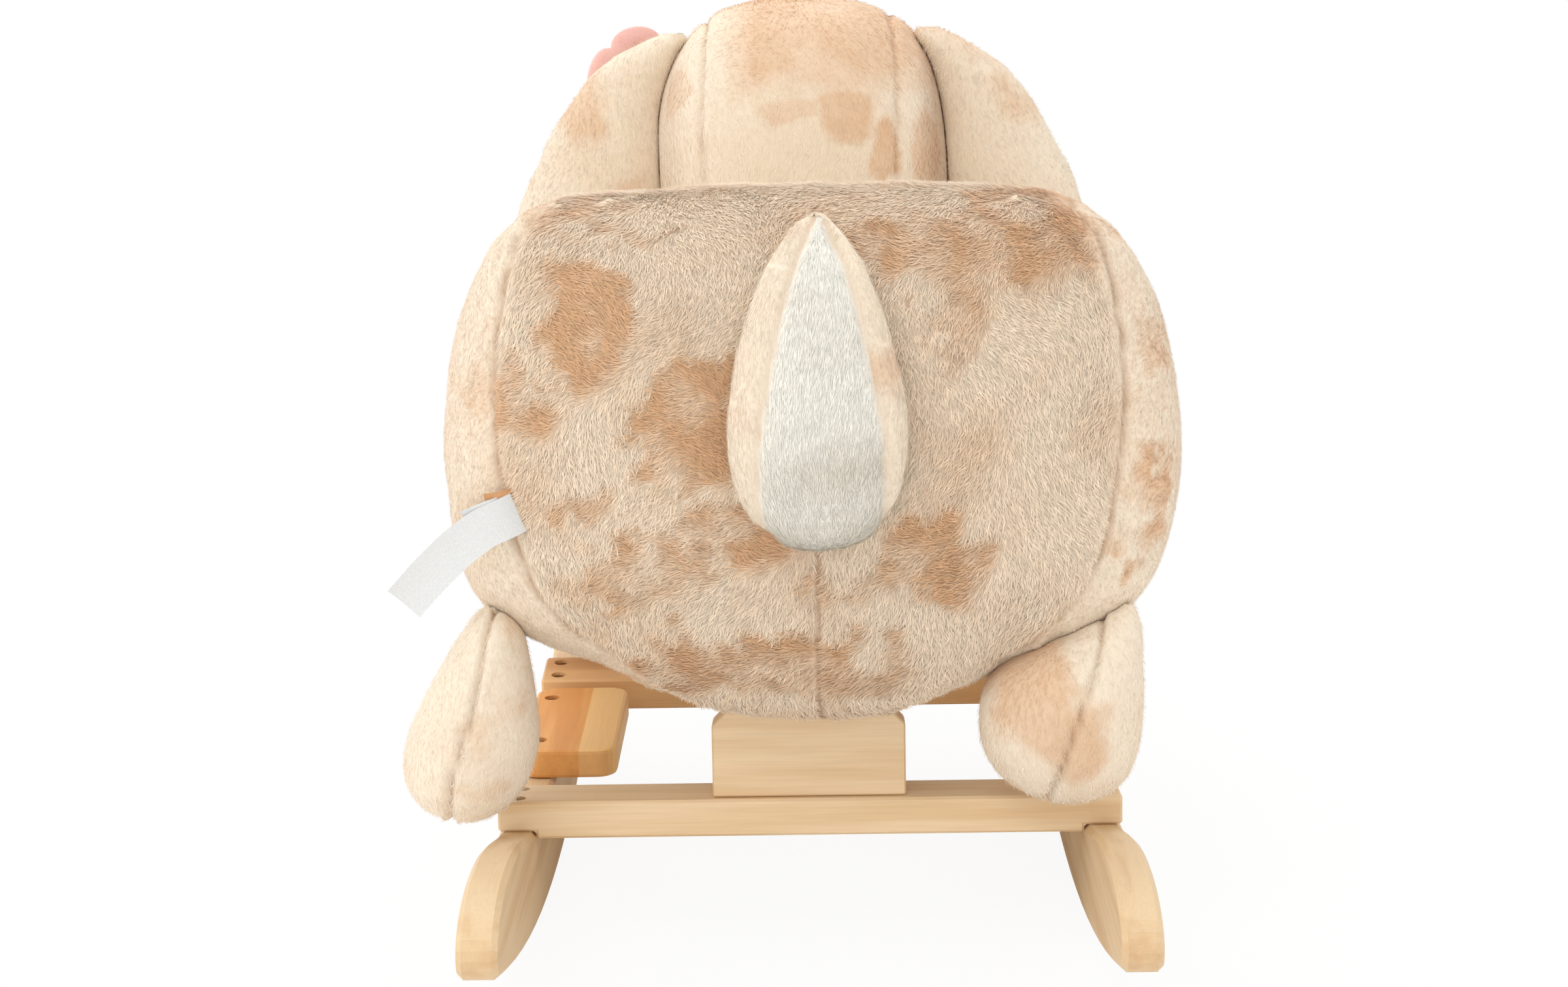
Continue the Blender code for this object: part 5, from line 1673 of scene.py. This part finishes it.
@dataclass
class Tail:
    """Leaf-shaped tail: a beige cover with a cream panel of long straight pile."""

    height: float = 0.131
    width: float = 0.079
    thick: float = 0.040
    below: float = 0.095
    widest: float = 0.3
    set_over: float = 0.0035
    root_radius: float = 0.017
    bend: float = 0.042
    around: int = 80
    pile_density: float = 2400000.0
    pile_length: float = 0.0056
    pile_width: float = 0.00045
    panel_outline: Profile = ((0.2105, 0.010), (0.214, 0.0215), (0.222, 0.0275),
                              (0.240, 0.0290), (0.262, 0.0280), (0.290, 0.0235),
                              (0.318, 0.0170), (0.338, 0.0105), (0.350, 0.0040),
                              (0.356, 0.0005))

    def half_width(self, share: float) -> float:
        """Half width at a share of the height above the root, from just below it to 1.

        Args:
            share: The share of the height.

        Returns:
            The half width.
        """
        if share < self.widest:
            lower = (self.widest - share) / (self.widest + self.below)
            return self.width / 2 * float(swell(lower, 2.4))
        return self.width / 2 * float(swell((share - self.widest) / (1.0 - self.widest), 1.7))

    def section(self, share: float, root: Vector) -> np.ndarray:
        """One level section of the tail at a share of its height above the root.

        Args:
            share: The share of the height.
            root: The tail's root.

        Returns:
            Rows of coordinates round it.
        """
        if share < 0.0:
            cap = math.sqrt(max(0.0, 1.0 - (share / self.below) ** 2))
            lean, half_y = 0.0, self.root_radius * cap
        else:
            grown = math.sin(math.pi / 2 * min(1.0, share / self.widest))
            lean = (self.thick / 2 - self.root_radius) * grown - self.bend * share ** 4
            taper = float(swell(max(0.0, share - self.widest) / (1.0 - self.widest), 1.5))
            full = self.root_radius + (self.thick / 2 - self.root_radius) * grown
            half_y = full * max(taper, 0.02)
        flat = superellipse(max(self.half_width(share), 0.0006), half_y, half_y,
                            self.around, 2.0, 2.0)
        return level_ring(flat, root.x - self.set_over, root.y + lean,
                          root.z + self.height * share)

    def cover(self, palette: Palette) -> bpy.types.Object:
        """Make the cover with its cream panel sewn in, and store how its pile lies.

        Args:
            palette: The materials.

        Returns:
            The cover.
        """
        root = hinge("tail_body")
        shares = [-self.below * math.cos(t) for t in np.linspace(0.06, math.pi / 2, 10)]
        shares += list(np.linspace(0.015, 0.9, 44))
        shares += [0.9 + 0.1 * s for s, _ in rounded_steps(10, 1.7)[1:]] + [0.9995]
        rings = np.array([self.section(share, root) for share in shares])
        item = loft("tail_cover", rings, palette.tail)
        points, outward = coordinates(item), normals(item)
        across = points[:, 0] - root.x + self.set_over + 0.002
        reach = np.interp(points[:, 2], *zip(*self.panel_outline), left=0.0, right=0.0)
        behind = outward[:, 1] > -0.1
        edge = np.abs(across) - reach
        line = bell(edge, 0.0022) * behind
        rim = bell(outward[:, 1] + 0.1, 0.25) * 0.5
        shift = (fractal(points, 26.0, 61.0, 2) * 0.0010 - 0.0022 * line - 0.0008 * rim
                 + fractal(points, 100.0, 62.0, 2) * 0.0012 * bell(edge, 0.010))
        move_points(item, points + outward * shift[:, None])
        panel = np.clip(-edge / 0.0012, 0.0, 1.0) * behind
        # Painted shade along the seam of the cream panel
        store(item, "crease", 0.25 * line)
        store(item, "panel", panel)
        # The cream panel is made darker towards its bottom: a band near 0.25 m high and a fade below 0.252
        # m, stored with the nap
        low = np.clip(1.0 - np.abs(points[:, 2] - 0.250) / 0.014, 0.0, 1.0)
        cloud = fractal(points, 30.0, 63.0, 3)
        blot = np.hypot((across + 0.034) / 0.012, (points[:, 2] - 0.2925) / 0.010)
        beige = np.clip(1.4 - blot + cloud, 0.0, 0.7)
        soft = fall(points[:, 2], 0.252, 0.012) * 0.35 + low * 0.55
        store(item, "nap", np.where(panel > 0.5, np.clip(soft + cloud * 0.35, 0.0, 1.0), beige))
        store(item, "pile", (0.55 + 0.25 * panel) * (1.0 - 0.7 * line))
        turn = fractal(points, 16.0, 64.0, 2) * (0.8 - 0.55 * panel) + panel * math.pi
        comb(item, np.where(panel > 0.5, turn, turn + math.pi * (cloud > 0.1)))
        return item

    def build(self, palette: Palette) -> None:
        """Make the tail and its two kinds of pile.

        Args:
            palette: The materials.
        """
        item = self.cover(palette)
        fur = Fur(self.pile_density, self.pile_length, self.pile_width, 0.2,
                  palette.tail_tufts, seed=5, spread=0.22)
        tufts = fur.grow("tail_pile", item)
        dress(item, "tail_body", "cream_plush", "tail", fill=0.8)
        dress(tufts, "tail_body", "cream_plush")


def sewn_root(name: str) -> tuple[Vector, Vector]:
    """Where a leg's sewn root ends, and where the leg swings freely below it."""
    root = hinge(name + "_body")
    return root + Vector((0.0, 0.0, 0.010)), root - Vector((0.0, 0.0, 0.022))


@dataclass
class FrontLeg:
    """A pear-shaped stuffed front leg that hangs from its round root."""

    side: Side
    splay: float = math.radians(12)
    length: float = 0.050
    root_radius: float = 0.021
    thick: float = 0.062
    broad: float = 0.074
    belly_share: float = 0.62
    around: int = 72

    def sections(self) -> list[tuple[float, float, float]]:
        """Depth below the root and half sizes across and along, from the root to the foot.

        Returns:
            The depth and the two half sizes of each section.
        """
        radius, belly = self.root_radius, self.length * self.belly_share
        rings = []
        for turn in np.linspace(0.06, math.pi / 2, 14):
            rings.append((-radius * math.cos(turn), radius * math.sin(turn),
                          radius * math.sin(turn)))
        for share in np.linspace(0.04, 1.0, 22):
            grown = math.sin(math.pi / 2 * share) ** 2
            rings.append((belly * share, radius + (self.thick / 2 - radius) * grown,
                          radius + (self.broad / 2 - radius) * grown))
        for share, scale in rounded_steps(20, 2.1)[1:]:
            rings.append((belly + (self.length - belly) * share, self.thick / 2 * scale,
                          self.broad / 2 * scale))
        return rings

    def build(self, palette: Palette) -> None:
        """Make the leg with its seam along the side that faces the rear.

        Args:
            palette: The materials.
        """
        name = f"front_leg_{self.side.word}"
        root = np.array(hinge(name + "_body"))
        local = np.array([level_ring(superellipse(across, along, along, self.around, 2.0, 2.0),
                                     0.0, 0.0, -depth)
                          for depth, across, along in self.sections()])
        turn = np.array(Matrix.Rotation(-self.side.value * self.splay, 3, "Y"))
        item = loft(name + "_cover", local @ turn.T + root, palette.plush)
        points, outward = coordinates(item), normals(item)
        inside = (points - root) @ turn
        seam = inside[:, 0] - 0.006 * np.sin(inside[:, 2] * 40.0)
        shift = (fractal(points, 24.0, 71.0 + len(name), 2) * 0.0013
                 - 0.0018 * bell(seam, 0.0022)
                 + fractal(points, 110.0, 72.0, 2) * 0.0008 * bell(seam, 0.009))
        free = rise(-inside[:, 2], 0.002, 0.01)
        move_points(item, points + outward * (shift * free)[:, None])
        cloud = fractal(points, 17.0, 73.0 + root[0] * 40.0, 4)
        store(item, "nap", np.clip((cloud - 0.1) / 0.4, 0.0, 0.75))
        sewn = sewn_root(name)
        dress(item, name + "_body", "beige_plush", name, fill=0.85, sewn=sewn)
        fuzz(item, palette.down, 50 + len(name), sewn=sewn)


@dataclass(frozen=True)
class RearLeg:
    """A stuffed hind leg by its outline from behind, with its seam down the rear side.

    Each row of the outline holds a height and the leg's two edges across the body.
    """

    name: str
    outline: Sequence[tuple[float, float, float]]
    seam: Profile
    depth: float
    shade: float
    levels: int = 90
    around: int = 80

    def build(self, palette: Palette, rump: bpy.types.Object) -> None:
        """Make the leg, laid against the rump.

        Args:
            palette: The materials.
            rump: The rump.
        """
        lines = smoothed(zip(*self.outline), self.levels, 4)
        middle_y = hinge(self.name + "_body").y
        widest = np.max(lines[2] - lines[1]) / 2
        rings = []
        for height, low, high in zip(*lines):
            half = (high - low) / 2
            deep = self.depth * min(1.0, (half / widest) ** 0.8)
            flat = superellipse(half, deep, deep, self.around, 2.0, 2.0)
            rings.append(level_ring(flat, SHIFT_X + (low + high) / 2, middle_y, height))
        item = loft(self.name + "_cover", np.array(rings), palette.plush)
        points, outward = coordinates(item), normals(item)
        line = points[:, 0] - SHIFT_X - np.interp(points[:, 2], *zip(*self.seam))
        line = line + 0.0008 * fractal(points, 80.0, 74.0, 2)
        behind = outward[:, 1] > 0.0
        groove = bell(line, 0.0016) * behind
        shift = (fractal(points, 26.0, 71.0 + self.depth, 2) * 0.0012 - 0.0030 * groove
                 + fractal(points, 110.0, 72.0, 2) * 0.0012 * bell(line, 0.010) * behind)
        move_points(item, points + outward * shift[:, None])
        seat_against(item, rump, PRESSED_GAP)
        # Painted shade in the seam's groove
        store(item, "crease", 0.35 * groove)
        # shade shifts the nap: the left leg's low value keeps it nearly plain, the right leg's higher one
        # darkens it, partly brushed pile and partly painted shade
        cloud = fractal(points, 17.0, 73.0 + self.depth * 90.0, 4)
        store(item, "nap", np.clip((cloud + self.shade) / 0.4, 0.0, 0.85))
        sewn = sewn_root(self.name)
        dress(item, self.name + "_body", "beige_plush", self.name, fill=0.85, sewn=sewn)
        fuzz(item, palette.down, 50 + len(self.name), sewn=sewn)


REAR_LEGS = (
    RearLeg("rear_leg_left",
            ((0.1715, 0.1455, 0.1500), (0.1690, 0.1385, 0.1545), (0.1630, 0.1325, 0.1585),
             (0.1480, 0.1304, 0.1690), (0.1340, 0.1285, 0.1775), (0.1206, 0.1272, 0.1845),
             (0.1046, 0.1269, 0.1895), (0.0950, 0.1295, 0.1905), (0.0857, 0.1330, 0.1895),
             (0.0780, 0.1390, 0.1850), (0.0732, 0.1450, 0.1775), (0.0702, 0.1530, 0.1680),
             (0.0694, 0.1590, 0.1620)),
            ((0.060, 0.168), (0.089, 0.1658), (0.0994, 0.1641), (0.1271, 0.1542),
             (0.1618, 0.1483), (0.1776, 0.1417)), 0.035, -0.42),
    RearLeg("rear_leg_right",
            ((0.1690, -0.1520, -0.1480), (0.1665, -0.1538, -0.1420),
             (0.1600, -0.1560, -0.1290), (0.1550, -0.1568, -0.1170),
             (0.1490, -0.1572, -0.1040), (0.1420, -0.1574, -0.0920),
             (0.1330, -0.1574, -0.0845), (0.1210, -0.1572, -0.0808),
             (0.1080, -0.1562, -0.0806), (0.0960, -0.1540, -0.0838),
             (0.0860, -0.1500, -0.0910), (0.0793, -0.1435, -0.1000),
             (0.0762, -0.1350, -0.1110), (0.0752, -0.1270, -0.1180)),
            ((0.060, -0.105), (0.0921, -0.1148), (0.1201, -0.1233), (0.1436, -0.1323),
             (0.1729, -0.1392)), 0.032, 0.06))


@dataclass
class Labels:
    """Bare ribbons sewn into the left seam of the rump, each curving down from it."""

    seam_y: float = 0.1625
    stand_off: float = 0.004
    half_thick: float = 0.00022
    steps: int = 40
    strips: int = 10

    def middle_line(self, knots: Profile) -> np.ndarray:
        """An even, rounded line through the knots: a row across the body and a row up.

        Args:
            knots: The points that set the line.

        Returns:
            The places across the body and the heights.
        """
        share = np.linspace(0.0, 1.0, self.steps + 1)
        places = np.array([np.interp(share, np.linspace(0.0, 1.0, len(knots)), row)
                           for row in zip(*knots)])
        for _ in range(6):
            places[:, 1:-1] = (places[:, :-2] + places[:, 1:-1] + places[:, 2:]) / 3
        return places

    def faces(self) -> list[tuple[int, ...]]:
        """The faces of any ribbon: its two sides, then its rim.

        Returns:
            The corners of each face.
        """
        steps, across = self.steps, self.strips
        row = across + 1
        total = (steps + 1) * row
        faces = []
        for i in range(steps):
            for j in range(across):
                a, d = i * row + j, (i + 1) * row + j
                b, c = a + 1, d + 1
                faces += [(a, b, c, d), (total + d, total + c, total + b, total + a)]
        rim = ([i * row for i in range(steps)] + [steps * row + j for j in range(across)]
               + [i * row + across for i in range(steps, 0, -1)]
               + list(range(across, 0, -1)))
        for a, b in zip(rim, rim[1:] + rim[:1]):
            faces.append((a, b, total + b, total + a))
        return faces

    def ribbon(self, node: str, knots: Profile, width: float, layer: float,
               material: bpy.types.Material, slot: str) -> None:
        """Make one bare ribbon that hangs out of the seam.

        Args:
            node: The frame's node that it replaces.
            knots: Its middle line from the seam, across the body and up.
            width: Its cut width.
            layer: How far it lies behind the seam's other ribbons.
            material: Its finish.
            slot: The record's slot.
        """
        share = np.linspace(0.0, 1.0, self.steps + 1)
        places = self.middle_line(knots)
        along = np.gradient(places, axis=1)
        along = along / np.linalg.norm(along, axis=0)
        run = np.concatenate([[0.0], np.cumsum(np.linalg.norm(np.diff(places, axis=1),
                                                              axis=0))])
        front, back = [], []
        for i in range(self.steps + 1):
            y = (self.seam_y + layer
                 + self.stand_off * (1.0 - math.exp(-run[i] / 0.006))
                 + 0.0015 * math.sin(3.0 * share[i]))
            for j in range(self.strips + 1):
                side = j / self.strips - 0.5
                cup = 0.0010 * (4 * side * side - 1) * share[i]
                x = SHIFT_X + places[0, i] - along[1, i] * side * width
                z = places[1, i] + along[0, i] * side * width
                front.append((x, y + cup + self.half_thick, z))
                back.append((x, y + cup - self.half_thick, z))
        item = mesh_object(node + "_ribbon", np.array(front + back), self.faces(), material)
        item.data.set_sharp_from_angle(angle=math.radians(50))
        dress(item, ROOT, slot, node)

    def build(self, palette: Palette) -> None:
        """Make the tan tag and the two white ribbons.

        Args:
            palette: The materials.
        """
        self.ribbon("seam_tag", ((0.1310, 0.2272), (0.1445, 0.2250)), 0.0110, 0.0,
                    palette.tan_ribbon, "tag_ribbon")
        self.ribbon("care_label_short", ((0.1325, 0.2213), (0.1423, 0.2185), (0.1525, 0.2142)),
                    0.0185, 0.0010, palette.ribbon, "label_ribbon")
        self.ribbon("care_label_long", ((0.1300, 0.2214), (0.1456, 0.2153), (0.1589, 0.2055),
                                        (0.1724, 0.1924), (0.1835, 0.1800)),
                    0.0190, 0.0020, palette.ribbon, "label_ribbon")


@dataclass
class Rocker:
    """The wooden base, the boards in the seat, the handle, and every screw."""

    pale: Colour = srgb(238, 211, 172)
    band: Colour = srgb(224, 188, 142)
    end: Colour = srgb(210, 166, 114)

    def finishes(self, palette: Palette) -> dict[str, bpy.types.Material]:
        """Build the woods, and name the finish of each kind of node by its first words.

        Args:
            palette: The materials.

        Returns:
            The finish for each first part of a node's name.
        """
        along = WoodFinish("pine_along", srgb(228, 200, 160), srgb(214, 178, 132),
                           srgb(204, 158, 112), Grain.Y).build()
        across = WoodFinish("pine_across", self.pale, self.band, self.end, Grain.X).build()
        warm = WoodFinish("warm_wood", srgb(240, 178, 106), srgb(222, 150, 80),
                          srgb(206, 138, 72), Grain.Y, strip=srgb(250, 206, 142),
                          strip_from=0.121).build()
        # A darker, more orange copy of the pine for the front crossbar: painted shade and warm bounce light
        # under the rump
        shaded = WoodFinish("pine_warm", srgb(236, 190, 136), srgb(216, 164, 110), self.end,
                            Grain.X).build()
        upward = WoodFinish("pine_upright", self.pale, self.band, self.end, Grain.Z).build()
        return {"runner": along, "rear_crossbar": across, "front_crossbar": shaded,
                "rear_upright": across, "front_upright": across, "footrest_left": warm,
                "footrest_right": warm, "handle": across, "neck_board": upward,
                "seat_board": along, "back_board": upward, "crossbar_screw": palette.steel,
                "footrest_screw": palette.steel, "upright_screw": palette.steel,
                "board_screw": palette.steel}

    def build(self, palette: Palette) -> None:
        """Dress the nodes that are kept as the frame made them.

        Args:
            palette: The materials.
        """
        finishes = self.finishes(palette)
        for name, node in FRAME["nodes"].items():
            for start, finish in finishes.items():
                if name.startswith(start):
                    node.material_slots[0].material = finish
                    LOG.info("%s finished in %s", name, finish.name)


@dataclass(frozen=True)
class Lamp:
    """A soft square lamp that points at the toy's middle."""

    name: str
    place: tuple[float, float, float]
    size: float
    power: float
    target: tuple[float, float, float] = (0.0, 0.05, 0.2)

    def build(self) -> None:
        """Hang the lamp."""
        light = bpy.data.lights.new(self.name, "AREA")
        light.size = self.size
        light.energy = self.power
        item = new_object(self.name, light)
        item.location = self.place
        aim = Vector(self.target) - Vector(self.place)
        item.rotation_euler = aim.to_track_quat("-Z", "Y").to_euler()


@dataclass
class Studio:
    """Pale floor, soft light and the camera at the photograph's angle."""

    eye: tuple[float, float, float] = (SHIFT_X - 0.00833, 1.37876, 0.50008)
    pitch: float = math.radians(12.6176)
    yaw: float = math.radians(-0.8201)
    roll: float = math.radians(-1.0194)
    lens: float = 63.0
    sensor_width: float = 36.0
    light_level: float = 0.62
    floor_reach: float = 6.0
    floor_drop: float = 0.0005
    lamps: tuple[Lamp, ...] = (
        Lamp("key", (0.6, 1.3, 2.2), 1.4, 16.5), Lamp("low", (0.1, 1.9, 0.35), 1.4, 8.5),
        Lamp("left", (1.9, 0.3, 0.9), 1.4, 9.0), Lamp("right", (-1.9, 0.4, 0.9), 1.4, 6.5),
        Lamp("far", (0.1, -1.2, 1.9), 1.8, 24.0))

    def camera(self) -> None:
        """Place the camera."""
        sin_y, cos_y = math.sin(self.yaw), math.cos(self.yaw)
        sin_p, cos_p = math.sin(self.pitch), math.cos(self.pitch)
        forward = Vector((-sin_y * cos_p, -cos_y * cos_p, -sin_p))
        right = Vector((-cos_y, sin_y, 0.0))
        up = right.cross(forward)
        turned = right * math.cos(self.roll) + up * math.sin(self.roll)
        top = up * math.cos(self.roll) - right * math.sin(self.roll)
        lens = bpy.data.cameras.new("camera")
        lens.lens = self.lens
        lens.sensor_width = self.sensor_width
        item = new_object("camera", lens)
        turn = Matrix((turned, top, -forward)).transposed().to_4x4()
        item.matrix_world = Matrix.Translation(self.eye) @ turn
        bpy.context.scene.camera = item

    def world(self) -> None:
        """White surroundings for the camera and gloss, and a plain level of light."""
        world = bpy.data.worlds.new("studio")
        bpy.context.scene.world = world
        world.use_nodes = True
        graph = Graph(world.node_tree)
        world.node_tree.nodes.clear()
        rays = graph.add("ShaderNodeLightPath")
        seen = graph.math("MAXIMUM", rays.outputs["Is Camera Ray"],
                          rays.outputs["Is Glossy Ray"])
        back = graph.add("ShaderNodeBackground", {
            "Color": (1.0, 1.0, 1.0, 1.0), "Strength": graph.span(seen, self.light_level, 1.0)})
        graph.add("ShaderNodeOutputWorld", {"Surface": back.outputs[0]})

    def floor(self) -> None:
        """Lay the pale floor."""
        material, graph, shader = new_material("pale_floor")
        graph.fill(shader, {"Base Color": (0.9, 0.9, 0.9, 1.0), "Roughness": 0.9,
                            "Specular IOR Level": 0.0})
        rays = graph.add("ShaderNodeLightPath")
        glow = graph.add("ShaderNodeEmission", {"Color": (1.0, 1.0, 1.0, 1.0),
                                                "Strength": 1.0})
        place = graph.add("ShaderNodeTexCoord").outputs["Object"]
        away = graph.vector_math("LENGTH", {0: place}).outputs[1]
        clear = graph.span(away, 0.92, 1.0, 0.25, 0.75)
        share = graph.math("MULTIPLY", rays.outputs["Is Camera Ray"], clear)
        mixed = graph.add("ShaderNodeMixShader", {0: share, 1: shader.outputs[0],
                                                  2: glow.outputs[0]})
        graph.fill(material.node_tree.nodes["Material Output"], {"Surface": mixed.outputs[0]})
        reach, drop = self.floor_reach, -self.floor_drop
        corners = [(-reach, -reach, drop), (reach, -reach, drop),
                   (reach, reach, drop), (-reach, reach, drop)]
        item = mesh_object("floor", np.array(corners), [(0, 1, 2, 3)], material)

    def build(self) -> None:
        """Set up the view, the light and the floor."""
        bpy.context.scene.view_settings.view_transform = "Standard"
        self.camera()
        self.world()
        self.floor()
        for lamp in self.lamps:
            lamp.build()


def main() -> None:
    """Build the toy in order, then the studio."""
    palette = Palette()
    Rocker().build(palette)
    rump = Rump().build(palette)
    SeatBody().build(palette)
    Head().build(palette)
    Tail().build(palette)
    for leg in REAR_LEGS:
        leg.build(palette, rump)
    for side in Side:
        FrontLeg(side).build(palette)
    Labels().build(palette)
    Studio().build()


if __name__ == "__main__":
    logging.basicConfig(level=logging.INFO, format="%(message)s")
    main()
